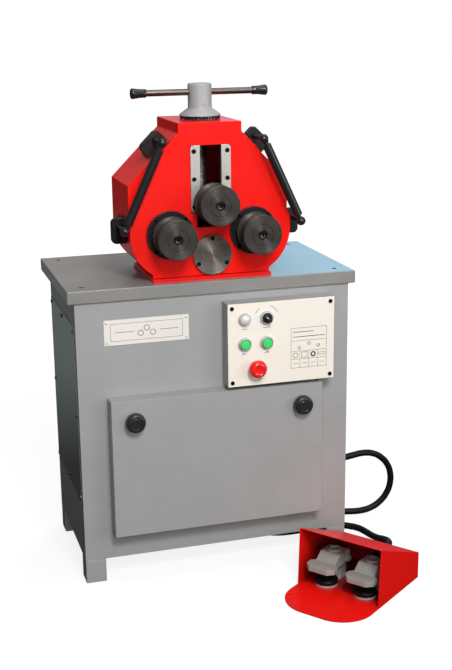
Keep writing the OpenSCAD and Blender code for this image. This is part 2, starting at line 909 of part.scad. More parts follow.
// Front cover: a folded tray with two knobs and two locating pins
module front_cover() {
    back = cab_front - rest_gap;
    x0 = door_x - door_w / 2;
    x1 = door_x + door_w / 2;
    color(grey) {
        difference() {
            box([x0, door_face, door_z0], [x1, back, door_z1]);
            box([x0 + door_t, door_face + door_t, door_z0 + door_t],
                [x1 - door_t, back - door_t, door_z1 - door_t]);
            box([x0 + door_return, door_face + door_t, door_z0 + door_return],
                [x1 - door_return, back + over, door_z1 - door_return]);
            for (x = knob_places)
                translate([x, door_face - over, knob_z]) y_cyl(stud_r + run_gap, door_t + 2 * over);
        }
        for (x = knob_places)
            translate([x, back - door_t, door_z0 + door_return / 2]) y_cyl(locator_r, door_t + locator_l);
    }
}

module knob(x) {
    dome_r = knob_r * dome_share;
    color(black) translate([x, door_face - rest_gap, knob_z]) {
        translate([0, -knob_h, 0]) y_revolve() intersection() {
            square([knob_r, knob_h]);
            translate([0, dome_r]) circle(dome_r);
        }
        y_cyl(stud_r, rest_gap + door_d + sheet_t + stud_end);
    }
}

module left_knob() {
    knob(knob_places[0]);
}

module right_knob() {
    knob(knob_places[1]);
}

// Electrical gear inside
module electrical_plate() {
    y1 = cab_back - sheet_t;
    color(steel) {
        box([panel_x - panel_w / 2, y1 - panel_stand - panel_t, panel_z - panel_h / 2],
            [panel_x + panel_w / 2, y1 - panel_stand, panel_z + panel_h / 2]);
        for (x = [-1, 1], z = [-1, 1])
            translate([panel_x + x * (panel_w / 2 - post_w), y1 - panel_stand,
                       panel_z + z * (panel_h / 2 - post_w)]) y_cyl(post_w / 2, panel_stand);
    }
}

module contactors() {
    y1 = cab_back - sheet_t - panel_stand - panel_t;
    color(dark_grey) for (i = [0 : contactor_count - 1]) {
        x = panel_x + (i - (contactor_count - 1) / 2) * contactor_pitch;
        difference() {
            box([x - contactor_w / 2, y1 - contactor_d, panel_z + contactor_lift - contactor_h / 2],
                [x + contactor_w / 2, y1, panel_z + contactor_lift + contactor_h / 2]);
            for (s = [-1, 1]) translate([x, y1 - contactor_d, panel_z + contactor_lift + s * contactor_h / 2])
                cube([contactor_w + 2 * over, contactor_d, contactor_h / 2], center = true);
        }
    }
    color(steel) translate([panel_x, y1, panel_z - transformer_drop])
        box([-transformer_w / 2, -transformer_d, -transformer_h / 2],
            [transformer_w / 2, 0, transformer_h / 2]);
}

// Motor hanging inside the cabinet under the gearbox
module motor() {
    body_l = motor_l - motor_flange_t - fan_l;
    color(dark_grey) translate([worm_pitch, gearbox_mid_y, motor_z1]) {
        translate([0, 0, -motor_flange_t]) cylinder(h = motor_flange_t, r = motor_flange_r);
        translate([0, 0, -motor_flange_t - body_l]) linear_extrude(body_l) {
            circle(motor_r - fin_h);
            for (i = [0 : fin_count - 1]) rotate(360 * i / fin_count)
                translate([0, -fin_t / 2]) square([motor_r, fin_t]);
        }
        translate([0, 0, -motor_l]) cylinder(h = fan_l, r = motor_r);
        translate([0, -motor_r + fin_h, -motor_flange_t - body_l / 2])
            box([-terminal_w / 2, -terminal_d, -terminal_h / 2], [terminal_w / 2, 0, terminal_h / 2]);
    }
}

module gearbox() {
    color(dark_grey) difference() {
        union() {
            translate([(worm_pitch - gearbox_w) / 2, case_back, table_h])
                xz_plate(gearbox_d) round_rect(gearbox_w, gearbox_h, gearbox_round);
            box([(worm_pitch - gearbox_w) / 2, case_back, table_h],
                [(worm_pitch + gearbox_w) / 2, case_back + gearbox_d, table_h + gearbox_round]);
            translate([worm_pitch, gearbox_mid_y, motor_z1]) cylinder(h = neck_l + over, r = neck_r);
            translate([0, case_back + gearbox_d, drive_z]) y_cyl(worm_cap_r, worm_cap_t);
        }
        translate([0, case_back - over, drive_z]) y_cyl(drive_r + run_gap, gearbox_d + over);
    }
}

// Head outlines in the XZ plane, drawn smaller all round by inset
module round_foot(half, inset) {
    r = half - arc_x - inset;
    base_half = arc_x + sqrt(pow(half - arc_x, 2) - pow(arc_z - toe_z, 2)) - inset;
    translate([-base_half, foot_z]) square([2 * base_half, arc_z - foot_z]);
    for (x = [-arc_x, arc_x]) intersection() {
        translate([x, arc_z]) circle(r, $fn = 96);
        translate([-half, foot_z]) square([2 * half, arc_r + arc_h]);
    }
}

module case_outline(inset) {
    half = case_half - inset;
    sum = slope_sum - inset * sqrt(2);
    top = top_half - inset;
    right = [[half, arc_z], [half, sum - half], [top, sum - top], [top, head_z1 - inset]];
    polygon(concat(right, [for (i = [3 : -1 : 0]) [-right[i][0], right[i][1]]]));
    round_foot(case_half, inset);
}

module plate_outline(inset) {
    half = head_half - inset;
    sum = slope_sum - inset * sqrt(2);
    top = top_half - inset;
    reach = flank_n * flank_foot - inset;
    flank_z = (reach - flank_n[0] * half) / flank_n[1];
    turn_x = (reach - flank_n[1] * sum) / (flank_n[0] - flank_n[1]);
    right = [[half, arc_z], [half, flank_z], [turn_x, sum - turn_x], [top, sum - top],
             [top, head_z1 - inset]];
    polygon(concat(right, [for (i = [4 : -1 : 0]) [-right[i][0], right[i][1]]]));
    round_foot(head_half, inset);
}

module gear_case() {
    axes = [[-roll_x, roll_z], [roll_x, roll_z], [0, drive_z]];
    color(red) difference() {
        union() {
            difference() {
                translate([0, plate_back, 0]) xz_plate(case_d) case_outline(0);
                translate([0, plate_back - over, 0]) xz_plate(case_d - case_back_t + over) intersection() {
                    case_outline(case_wall);
                    plate_outline(case_flange);
                }
            }
            intersection() {
                for (p = axes) translate([p[0], rear_race_y, p[1]]) y_cyl(rear_boss_r, rear_boss_t + over);
                translate([0, rear_race_y, 0]) xz_plate(case_back_t) case_outline(0);
            }
            box([-foot_half, head_front - foot_lip, table_h], [foot_half, case_back, foot_z]);
        }
        for (p = axes) translate([p[0], rear_race_y - over, p[1]]) y_cyl(rear_race_r, rear_race_w + over);
        translate([0, rear_race_y, drive_z]) y_cyl(drive_r + free_gap, case_back_t + rear_boss_t + over);
        translate([0, screw_y, bush_z0 - over]) cylinder(h = roof_t + 2 * over, r = bush_r);
    }
}

module front_plate() {
    color(red) difference() {
        union() {
            translate([0, head_front, 0]) xz_plate(plate_t) plate_outline(0);
            both_sides() box([way_half, plate_back, way_z0],
                             [way_half + way_wall, plate_back + way_depth, way_z1]);
        }
        box([-way_half, head_front - over, way_z0], [way_half, plate_back + way_depth + over, way_z1]);
        both_sides() {
            box([0, head_front - over, rail_z0], [rail_gap_half + rail_w, rail_back, rail_z1]);
            translate([roll_x, head_front - over, roll_z]) y_cyl(front_race_r, plate_t + 2 * over);
            for (a = [45 : 90 : 315]) translate([roll_x + cap_screw_circle * cos(a), head_front - over,
                                                 roll_z + cap_screw_circle * sin(a)])
                y_cyl(cap_screw_r, cap_screw_l + over);
            for (i = [0 : 2]) translate([rail_mid + rail_screw_shift, rail_back - over, rail_screw_z(i)])
                y_cyl(cap_screw_r, cap_screw_l + over);
        }
        translate([0, head_front - over, drive_z]) y_cyl(rear_race_r, plate_t + 2 * over);
        for (a = [90, 210, 330]) translate([cover_screw_circle * cos(a), head_front - over,
                                            drive_z + cover_screw_circle * sin(a)])
            y_cyl(cap_screw_r, cap_screw_l + over);
    }
}

function rail_screw_z(i) = (rail_z0 + rail_z1) / 2 + (i - 1) * rail_screw_pitch;

module guide_rails() {
    color(steel) both_sides() difference() {
        translate([rail_gap_half, rail_front, rail_z0]) xz_plate(rail_t) {
            round_rect(rail_w, rail_l, rail_round);
            square([rail_w / 2, rail_l]);
        }
        for (i = [0 : 2]) translate([rail_mid + rail_screw_shift, rail_front, rail_screw_z(i)])
            cap_screw_hole(cap_screw_r, cap_head_r, cap_head_h, cap_screw_l);
    }
}

module head_screws() {
    color(black) {
        both_sides() for (i = [0 : 2])
            translate([rail_mid + rail_screw_shift, rail_front, rail_screw_z(i)])
                cap_screw(cap_screw_r, cap_head_r, cap_head_h, rail_t - cap_head_h + cap_screw_l);
        for (a = [90, 210, 330]) translate([cover_screw_circle * cos(a), head_front - drive_cover_t,
                                            drive_z + cover_screw_circle * sin(a)])
            cap_screw(cap_screw_r, cap_head_r, cap_head_h, drive_cover_t - cap_head_h + cap_screw_l);
        both_sides() for (a = [45 : 90 : 315])
            translate([roll_x + cap_screw_circle * cos(a), head_front - cap_flange_t,
                       roll_z + cap_screw_circle * sin(a)])
                cap_screw(cap_screw_r, cap_head_r, cap_head_h, cap_flange_t - cap_head_h + cap_screw_l);
    }
}

module drive_cover() {
    color(steel) translate([0, head_front - drive_cover_t, drive_z]) difference() {
        y_cyl(drive_cover_r, drive_cover_t);
        for (a = [90, 210, 330]) translate([cover_screw_circle * cos(a), 0, cover_screw_circle * sin(a)])
            cap_screw_hole(cap_screw_r, cap_head_r, cap_head_h, cap_screw_l);
    }
}

module bearing_caps() {
    color(black) both_sides() translate([roll_x, head_front, roll_z]) difference() {
        union() {
            translate([0, -cap_flange_t, 0]) y_cyl(bearing_cap_r, cap_flange_t);
            translate([0, -bearing_cap_t, 0]) y_cyl(cap_nose_r, bearing_cap_t);
        }
        translate([0, -bearing_cap_t - over, 0]) y_cyl(shaft_r + free_gap, bearing_cap_t + 2 * over);
        for (a = [45 : 90 : 315])
            translate([cap_screw_circle * cos(a), -cap_flange_t, cap_screw_circle * sin(a)])
                cap_screw_hole(cap_screw_r, cap_head_r, cap_head_h, cap_screw_l);
    }
}

module shaft_bearings() {
    color(steel) {
        both_sides() {
            translate([roll_x, head_front, roll_z]) y_ring(front_race_r, shaft_r + run_gap, plate_t);
            translate([roll_x, rear_race_y, roll_z]) y_ring(rear_race_r, journal_r + run_gap, rear_race_w);
        }
        translate([0, head_front, drive_z]) y_ring(rear_race_r, drive_r + run_gap, plate_t);
        translate([0, rear_race_y, drive_z]) y_ring(rear_race_r, drive_r + run_gap, rear_race_w);
    }
}

// Gears: an involute tooth, its points mirrored about its middle
function involute(a) = tan(a) * 180 / PI - a;
function flank_half(n, r) =
    let (pitch_r = gear_module * n / 2, base_r = pitch_r * cos(pressure_angle))
    90 / n - flank_thin / pitch_r * 180 / PI + involute(pressure_angle)
        - involute(acos(min(1, base_r / max(r, base_r))));
function tooth_radii(n) =
    let (root = gear_module * (n / 2 - root_depth), tip = gear_module * (n / 2 + 1))
    [for (s = flank_shares) root + s * (tip - root)];
function gear_points(n) = [
    for (i = [0 : n - 1], side = [-1, 1], k = [0 : len(flank_shares) - 1])
    let (r = tooth_radii(n)[side < 0 ? k : len(flank_shares) - 1 - k],
         a = 360 * i / n + side * flank_half(n, r))
    r * [cos(a), sin(a)]
];

module spur_gear(n, bore, turn) {
    xz_plate(gear_w) difference() {
        rotate(turn) polygon(gear_points(n));
        circle(bore);
    }
}

// Turn that puts a roll gear's gap on the drive gear's tooth along the line of centres
function mesh_turn(a) = a + 180 + (a * drive_teeth / 360 + 1 / 2) * 360 / roll_teeth;

module drive_gear() {
    color(steel) translate([0, gear_y0, drive_z]) spur_gear(drive_teeth, drive_r, 0);
}

module drive_shaft() {
    y0 = head_front + shaft_end_gap;
    y1 = case_back + gearbox_d - shaft_end_gap;
    color(steel) translate([0, y0, drive_z]) y_cyl(drive_r, y1 - y0);
}

module roll_shaft(x) {
    y0 = roll_front + cap_t;
    y1 = rear_race_y + rear_race_w - shaft_end_gap;
    color(steel) translate([x, 0, roll_z]) difference() {
        union() {
            translate([0, y0, 0]) y_cyl(shaft_r, gear_y1 - y0);
            translate([0, y0, 0]) y_cyl(journal_r, y1 - y0);
            translate([0, roll_back, 0]) y_cyl(collar_r, head_front - bearing_cap_t - roll_back - rest_gap);
        }
        translate([0, y0 - over, 0]) y_cyl(cap_bolt_r, cap_bolt_l + over);
    }
}

module left_roll_shaft() {
    roll_shaft(-roll_x);
}

module right_roll_shaft() {
    roll_shaft(roll_x);
}

module roll_gear(x, turn) {
    color(steel) translate([x, gear_y0, roll_z]) spur_gear(roll_teeth, shaft_r, turn);
}

module left_roll_gear() {
    roll_gear(-roll_x, mesh_turn(180 - right_mesh));
}

module right_roll_gear() {
    roll_gear(roll_x, mesh_turn(right_mesh));
}

// A grooved roll, its end cap sunk in its front face
module roll(x, z) {
    c = roll_chamfer;
    color(dark_steel) translate([x, roll_front, z]) y_revolve() difference() {
        polygon([[shaft_r, 0], [roll_r - c, 0], [roll_r, c], [roll_r, roll_w - c], [roll_r - c, roll_w],
                 [shaft_r, roll_w]]);
        translate([roll_r + groove_r - groove_depth, groove_back]) circle(groove_r);
        square([cap_r, cap_t]);
    }
}

module roll_cap(x, z) {
    color(dark_steel) translate([x, roll_front, z]) {
        difference() {
            y_cyl(cap_r, cap_t);
            cap_screw_hole(cap_bolt_r, cap_bolt_head_r, cap_bolt_head_h, cap_bolt_l);
        }
        cap_screw(cap_bolt_r, cap_bolt_head_r, cap_bolt_head_h, cap_bolt_l - cap_bolt_head_h);
    }
}

module left_roll() {
    roll(-roll_x, roll_z);
}

module right_roll() {
    roll(roll_x, roll_z);
}

module upper_roll() {
    roll(0, upper_z);
}

module left_roll_cap() {
    roll_cap(-roll_x, roll_z);
}

module right_roll_cap() {
    roll_cap(roll_x, roll_z);
}

module upper_roll_cap() {
    roll_cap(0, upper_z);
}

// Slide with the upper roll's bearing and the nut
module slide_block() {
    body_half = way_half - slide_gap;
    neck_half = rail_gap_half - slide_gap;
    z0 = upper_z - slide_h / 2;
    z1 = upper_z + slide_h / 2;
    color(dark_steel) difference() {
        union() {
            box([-body_half, rail_back + slide_gap, z0], [body_half, slide_y1, z1]);
            box([-neck_half, slide_neck_y, z0], [neck_half, rail_back + free_gap, z1]);
            translate([0, slide_neck_y - slide_nose_t, upper_z]) y_cyl(slide_nose_r, slide_nose_t);
        }
        translate([0, slide_neck_y - slide_nose_t - over, upper_z])
            y_cyl(shaft_r + run_gap, upper_bore_end - slide_neck_y + slide_nose_t + over);
        translate([0, screw_y, z0 - over]) cylinder(h = slide_h + 2 * over, r = screw_r + run_gap);
    }
}

module upper_shaft() {
    y0 = roll_front + cap_t;
    nose_y = slide_neck_y - slide_nose_t;
    color(steel) translate([0, 0, upper_z]) difference() {
        union() {
            translate([0, y0, 0]) y_cyl(shaft_r, upper_bore_end - shaft_end_gap - y0);
            translate([0, roll_back, 0]) y_cyl(collar_r, nose_y - roll_back - rest_gap);
        }
        translate([0, y0 - over, 0]) y_cyl(cap_bolt_r, cap_bolt_l + over);
    }
}

module lead_screw() {
    thrust_z1 = bush_z0 - rest_gap;
    color(steel) translate([0, screw_y, 0]) {
        translate([0, 0, screw_z0]) cylinder(h = screw_z1 - screw_z0, r = screw_r);
        translate([0, 0, thrust_z1 - thrust_t]) cylinder(h = thrust_t, r = thrust_r);
    }
}

module screw_bush() {
    color(bronze) translate([0, screw_y, bush_z0]) difference() {
        cylinder(h = roof_t, r = bush_r);
        translate([0, 0, -over]) cylinder(h = roof_t + 2 * over, r = screw_r + run_gap);
    }
}

module scale_ring() {
    color(black) translate([0, screw_y, head_z1]) difference() {
        cylinder(h = scale_t, r = flare_r - free_gap);
        translate([0, 0, -over]) cylinder(h = scale_t + 2 * over, r = scale_bore_r);
    }
}

module screw_hub() {
    color(silver) translate([0, screw_y, hub_z0]) difference() {
        rotate_extrude() polygon([[0, 0], [flare_r, 0], [flare_r, hub_rim], [hub_r, flare_h],
                                  [hub_r, hub_h - hub_edge], [hub_r - hub_edge, hub_h], [0, hub_h]]);
        translate([0, 0, -over]) cylinder(h = screw_z1 - hub_z0 + over, r = screw_r);
        translate([-flare_r, 0, bar_rise]) rotate([0, 90, 0]) cylinder(h = 2 * flare_r, r = bar_r + run_gap);
    }
}

module tommy_bar() {
    color(dark_steel) translate([-bar_half, screw_y, bar_z]) rotate([0, 90, 0])
        cylinder(h = 2 * bar_half, r = bar_r);
}

module bar_ends() {
    neck_r = bar_end_r * bar_neck_share;
    plug = bar_half - bar_l / 2 + bar_end_l;
    color(black) both_sides() translate([bar_l / 2 - bar_end_l, screw_y, bar_z]) rotate([0, 90, 0])
        rotate_extrude() polygon([
            [bar_r, 0], [neck_r, 0], [bar_end_r, bar_end_l - hub_edge], [bar_end_r - hub_edge, bar_end_l],
            [0, bar_end_l], [0, plug], [bar_r, plug]
        ]);
}

// Side bars on pins and brackets
module bracket(at, lean) {
    translate([at[0], bracket_y, at[1]]) rotate([0, lean, 0]) difference() {
        union() {
            translate([-pin_inset, 0, -pin_out]) xz_plate(bracket_t) {
                round_rect(bracket_l, bracket_h, bracket_round);
                square([bracket_l, bracket_h / 2]);
            }
            box([-pin_inset, bracket_t, -pin_out],
                [bracket_l - pin_inset, bracket_t + bracket_foot_l, bracket_foot_t - pin_out]);
        }
        translate([0, -over, 0]) y_cyl(pin_r, bracket_t + 2 * over);
    }
}

module bar_brackets() {
    color(black) both_sides() {
        bracket(upper_pin, 45);
        bracket(lower_pin, 90);
    }
}

module bar_pins() {
    color(steel) both_sides() for (p = [upper_pin, lower_pin]) translate([p[0], 0, p[1]]) {
        translate([0, bar_y, 0]) y_cyl(pin_r, bracket_y + bracket_t - bar_y);
    }
}

module side_bars() {
    color(dark_steel) both_sides() translate([lower_pin[0], bar_y, lower_pin[1]])
        rotate([0, side_bar_lean, 0]) difference() {
            union() {
                translate([0, 0, side_bar_neck]) cylinder(h = side_bar_l - 2 * side_bar_neck, r = side_bar_r);
                cylinder(h = side_bar_l, r = side_bar_neck_r);
                for (z = [0, side_bar_l]) translate([0, 0, z]) sphere(ball_r);
            }
            for (z = [0, side_bar_l]) translate([0, 0, z]) y_cyl(pin_r, ball_r + over);
        }
}

// Foot switch
module at_pedal() {
    translate([pedal_x, pedal_y, 0]) rotate([0, 0, pedal_turn]) children();
}

module hood_wedge(half, outline) {
    translate([-half, 0, 0]) rotate([90, 0, 90]) linear_extrude(2 * half) polygon(outline);
}

module pedal_hood() {
    flat = hood_w / 2 - tongue_r;
    back = hood_d - hood_t;
    color(red) at_pedal() {
        difference() {
            hood_wedge(hood_w / 2, [[0, 0], [hood_d, 0], [hood_d, hood_back_h], [hood_lean, hood_front_h]]);
            hood_wedge(hood_w / 2 - hood_t, [
                [-over, floor_t], [back, floor_t], [back, hood_back_h + hood_slope * hood_t - hood_t],
                [-over, hood_back_h + hood_slope * (hood_d + over) - hood_t]
            ]);
            translate([0, hood_d - hood_t - over, hood_gland_h]) y_cyl(cable_r + hood_t, hood_t + 2 * over);
        }
        linear_extrude(floor_t) {
            translate([-hood_w / 2, tongue_r - tongue_l]) square([hood_w, tongue_l - tongue_r + over]);
            translate([-flat, -tongue_l]) square([2 * flat, tongue_l]);
            for (x = [-flat, flat]) translate([x, tongue_r - tongue_l]) intersection() {
                circle(tongue_r);
                translate([-tongue_r, -tongue_r]) square([2 * tongue_r, tongue_l]);
            }
        }
    }
}

module at_each_pedal() {
    at_pedal() for (s = [-1, 1]) translate([s * pedal_pitch / 2, 0, 0]) children();
}

module pedal_bases() {
    color(cast_grey) at_each_pedal() {
        translate([0, pedal_base_y, floor_t]) cylinder(h = pedal_base_h, r = pedal_base_r);
        translate([0, pedal_base_y, floor_t]) cylinder(h = pedal_base_h + bumper_h, r = bumper_r);
        box([-post_half, post_y0, floor_t], [post_half, post_y0 + post_l, hinge_z + post_top]);
        translate([0, pedal_hinge_y, hinge_z]) {
            across(boss_half + rest_gap + pin_nut_t) circle(pedal_pin_r);
            for (side = [0, 1]) mirror([side, 0, 0]) translate([boss_half + rest_gap, 0, 0])
                rotate([0, 90, 0]) cylinder(h = pin_nut_t, r = pin_nut_r);
        }
        box([-post_half, pedal_base_y, floor_t], [post_half, post_y0 + over, floor_t + pedal_base_h / 2]);
    }
}

// Draws children in the YZ plane and carries them to both sides of the middle
module across(half) {
    translate([-half, 0, 0]) rotate([90, 0, 90]) linear_extrude(2 * half) children();
}

// A cast lever: a chamfered tread, a body that straddles the post, and a cup on top
module pedal_arm() {
    w = tread_w / 2;
    c = tread_chamfer;
    body_front = tread_y0 + tread_d - tread_lap;
    rear = pedal_hinge_y + cheek_rear;
    difference() {
        union() {
            translate([0, tread_y0, tread_z0]) linear_extrude(tread_t) polygon([
                [c - w, 0], [w - c, 0], [w, c], [w, tread_d - c], [w - c, tread_d], [c - w, tread_d],
                [-w, tread_d - c], [-w, c]
            ]);
            across(cheek_out) polygon([
                [body_front, tread_z0], [rear, tread_z0], [rear, body_top - rear_chamfer],
                [rear - rear_chamfer, body_top], [body_front + tread_lap + body_run, body_top],
                [body_front, tread_z0 + tread_t]
            ]);
            translate([0, cup_y, body_top - over]) cylinder(h = cup_h + over, r = cup_r);
            translate([0, pedal_hinge_y, hinge_z]) across(boss_half) circle(boss_r);
        }
        translate([0, cup_y, body_top + cup_h - cup_depth])
            cylinder(h = cup_depth + over, r = cup_r - cup_wall);
        box([-cheek_in, body_front + 2 * tread_lap + saddle_t, tread_z0 - over],
            [cheek_in, rear + over, cheek_top]);
        translate([0, pedal_hinge_y, hinge_z]) across(boss_half + over) circle(pedal_pin_r + run_gap);
    }
}

module left_pedal() {
    color(cast_grey) at_pedal() translate([-pedal_pitch / 2, 0, 0]) pedal_arm();
}

module right_pedal() {
    color(cast_grey) at_pedal() translate([pedal_pitch / 2, 0, 0]) pedal_arm();
}

// Glands and cable
module gland(l) {
    cylinder(h = min(gland_nut_l, l / 2), r = gland_nut_r, $fn = 6);
    cylinder(h = l, r1 = gland_body_r, r2 = cable_r + hood_t);
}

module cable_glands() {
    color(black) {
        translate([cab_x, 0, gland_h]) rotate([0, 90, 0]) gland(gland_l);
        at_pedal() translate([0, hood_d, hood_gland_h]) rotate([-90, 0, 0]) gland(hood_gland_l);
    }
}

function unit(v) = v / norm(v);
function route_way(i) =
    let (n = len(cable_route) - 1)
    unit(cable_route[min(i + 1, n)] - cable_route[max(i - 1, 0)]);
// Side vectors carried along the route without twist
route_sides = [
    for (i = 0, s = [0, 1, 0]; i < len(cable_route); i = i + 1,
         s = i < len(cable_route) ? unit(s - (s * route_way(i)) * route_way(i)) : s) s
];

module foot_cable() {
    n = len(cable_route);
    rings = [
        for (i = [0 : n - 1], k = [0 : cable_sides - 1])
        let (a = 360 * k / cable_sides, s = route_sides[i], t = cross(route_way(i), s))
        cable_route[i] + cable_r * (cos(a) * s + sin(a) * t)
    ];
    walls = [
        for (i = [0 : n - 2], k = [0 : cable_sides - 1])
        let (a = i * cable_sides + k, b = i * cable_sides + (k + 1) % cable_sides)
        each [[a, b, b + cable_sides], [a, b + cable_sides, a + cable_sides]]
    ];
    first = [for (k = [cable_sides - 1 : -1 : 0]) k];
    last = [for (k = [0 : cable_sides - 1]) (n - 1) * cable_sides + k];
    color(black) polyhedron(rings, concat(walls, [first, last]));
}

cabinet_shell();
legs();
table_top();
left_side_cover();
right_side_cover();
side_cover_screws();
name_plate();
control_box();
control_plate();
control_plate_screws();
operator_bezels();
power_lamp();
contact_blocks();
electrical_plate();
contactors();
motor();
gearbox();
gear_case();
front_plate();
guide_rails();
head_screws();
drive_cover();
bearing_caps();
shaft_bearings();
scale_ring();
screw_bush();
bar_brackets();
bar_pins();
side_bars();
cable_glands();
foot_cable();
pedal_hood();
pedal_bases();
drive_shaft();
drive_gear();
left_roll_shaft();
left_roll_gear();
left_roll();
left_roll_cap();
right_roll_shaft();
right_roll_gear();
right_roll();
right_roll_cap();
slide_block();
upper_shaft();
upper_roll();
upper_roll_cap();
lead_screw();
screw_hub();
tommy_bar();
bar_ends();
front_cover();
left_knob();
right_knob();
selector_knob();
left_button();
right_button();
stop_button();
left_pedal();
right_pedal();
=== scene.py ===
"""Looks of a motorised three-roll bender on its cabinet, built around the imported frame.

The axes are the frame's own: X to the right, Y to the back, Z up. Pieces are sized in millimetres, which
the modelling helpers turn into metres. The finishes and the studio are in metres.
"""

from __future__ import annotations

import json
import logging
import math
from contextlib import contextmanager
from dataclasses import dataclass, replace
from enum import Enum
from typing import Callable, Iterator, NamedTuple, Sequence

import bmesh
import bpy
from mathutils import Matrix, Vector

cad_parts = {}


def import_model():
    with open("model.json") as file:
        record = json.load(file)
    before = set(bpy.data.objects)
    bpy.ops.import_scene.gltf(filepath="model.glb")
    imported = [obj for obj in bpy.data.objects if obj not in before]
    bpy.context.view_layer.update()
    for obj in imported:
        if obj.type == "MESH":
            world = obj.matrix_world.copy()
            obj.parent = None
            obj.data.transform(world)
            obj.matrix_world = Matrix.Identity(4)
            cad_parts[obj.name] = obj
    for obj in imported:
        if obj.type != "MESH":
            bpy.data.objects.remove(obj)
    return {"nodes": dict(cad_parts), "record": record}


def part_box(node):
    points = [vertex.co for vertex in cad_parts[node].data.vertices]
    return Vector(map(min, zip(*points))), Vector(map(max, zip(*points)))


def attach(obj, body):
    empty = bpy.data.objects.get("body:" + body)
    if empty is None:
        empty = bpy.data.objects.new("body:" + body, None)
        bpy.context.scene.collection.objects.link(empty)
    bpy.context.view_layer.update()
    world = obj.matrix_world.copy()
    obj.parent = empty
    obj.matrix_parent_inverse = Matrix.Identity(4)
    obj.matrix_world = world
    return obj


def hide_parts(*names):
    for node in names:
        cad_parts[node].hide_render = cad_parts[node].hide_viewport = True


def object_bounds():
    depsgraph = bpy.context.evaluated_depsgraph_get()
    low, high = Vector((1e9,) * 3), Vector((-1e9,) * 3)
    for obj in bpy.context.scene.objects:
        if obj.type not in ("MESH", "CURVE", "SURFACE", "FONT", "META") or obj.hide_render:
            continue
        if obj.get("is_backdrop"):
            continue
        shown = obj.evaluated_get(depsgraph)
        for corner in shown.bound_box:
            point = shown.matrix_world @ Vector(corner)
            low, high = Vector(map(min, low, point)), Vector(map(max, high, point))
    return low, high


LOG = logging.getLogger("bender")

Obj = bpy.types.Object
Socket = bpy.types.NodeSocket
Point = tuple[float, float, float]
Flat = tuple[float, float]
Colour = tuple[float, float, float]
Profile = Sequence[Flat]
Spot = Callable[[Vector], bool]

MM = 0.001
WELD = 0.01 * MM
SIXTH = math.pi / 3
SMOOTH_ANGLE = math.radians(32)
SHARP_ANGLE = math.radians(30)
FLAT_ANGLE = math.radians(0.6)
# Where walls leave little room, narrower bevels are tried in turn. Bevels that run into each other make
# the skin grow past the share below.
BEVEL_SHARES = (1.0, 0.5, 0.25, 0.0)
MOST_GROWTH = 1.002
ORIGIN = (0.0, 0.0, 0.0)
WHITE = (1.0, 1.0, 1.0)


@dataclass(frozen=True)
class Box:
    """A box between its lowest and highest corner, in millimetres."""

    low: Vector
    high: Vector

    @property
    def mid(self) -> Vector:
        """Its middle."""
        return (self.low + self.high) / 2

    @property
    def size(self) -> Vector:
        """Its size along each axis."""
        return self.high - self.low


class Axis(Enum):
    """The axes that pieces are turned about."""

    Y = (0.0, 1.0, 0.0)
    Z = (0.0, 0.0, 1.0)

    @property
    def along(self) -> Point:
        """The axis itself, as a one in a vector."""
        return self.value

    @property
    def across(self) -> Point:
        """The two directions across the axis, as ones in a vector."""
        return tuple(1.0 - part for part in self.value)

    @property
    def from_z(self) -> Matrix:
        """The turn that lays Z along this axis."""
        return Matrix.Rotation(math.radians(-90 if self is Axis.Y else 0), 4, "X")


class Side(Enum):
    """The operator's left and right."""

    LEFT = -1
    RIGHT = 1

    def node(self, rest: str) -> str:
        """Name of the node on this side."""
        return f"{self.name.lower()}_{rest}"

    def face(self, box: Box) -> float:
        """X of a box's face on this side."""
        return box.high.x if self is Side.RIGHT else box.low.x


class Pick(Enum):
    """What is picked in edit mode, with its name in a mesh."""

    EDGE = "edges"
    FACE = "faces"


# Selection and modelling


def start_clean() -> None:
    """Return to object mode with nothing selected."""
    active = bpy.context.view_layer.objects.active
    if active is not None and active.mode != "OBJECT":
        bpy.ops.object.mode_set(mode="OBJECT")
    bpy.ops.object.select_all(action="DESELECT")


def started(name: str, operator: Callable, size: float) -> Obj:
    """Start a piece from a primitive at the origin.

    Args:
        name: Name of the piece.
        operator: The operator that adds the primitive.
        size: Size of the primitive in metres.

    Returns:
        The piece.
    """
    start_clean()
    operator(size=size)
    bpy.context.object.name = name
    return bpy.context.object


def focus(obj: Obj) -> None:
    """Make one object the only one that is selected and active.

    Args:
        obj: The object.
    """
    start_clean()
    obj.select_set(True)
    bpy.context.view_layer.objects.active = obj


@contextmanager
def editing(obj: Obj) -> Iterator[None]:
    """Open an object in edit mode with nothing selected, and close it again.

    Args:
        obj: The object.

    Returns:
        A context in which the object is open.
    """
    focus(obj)
    bpy.ops.object.mode_set(mode="EDIT")
    bpy.ops.mesh.select_mode(type="VERT")
    bpy.ops.mesh.select_all(action="DESELECT")
    yield
    bpy.ops.object.mode_set(mode="OBJECT")


def pick(obj: Obj, what: Pick, test: Callable[..., bool]) -> int:
    """Select the edges or faces that pass a test, in edit mode.

    Args:
        obj: The object that is open in edit mode.
        what: Whether edges or faces are picked.
        test: Says of an edge or face whether it is selected.

    Returns:
        How many are selected.
    """
    bpy.ops.mesh.select_mode(type=what.name)
    bpy.ops.mesh.select_all(action="DESELECT")
    mesh = bmesh.from_edit_mesh(obj.data)
    mesh.normal_update()
    chosen = [part for part in getattr(mesh, what.value) if test(part)]
    for part in chosen:
        part.select_set(True)
    bmesh.update_edit_mesh(obj.data)
    return len(chosen)


def smooth(obj: Obj) -> Obj:
    """Shade an object smooth except at its corners.

    Args:
        obj: The object.

    Returns:
        The same object.
    """
    focus(obj)
    bpy.ops.object.shade_smooth_by_angle(angle=SMOOTH_ANGLE)
    return obj


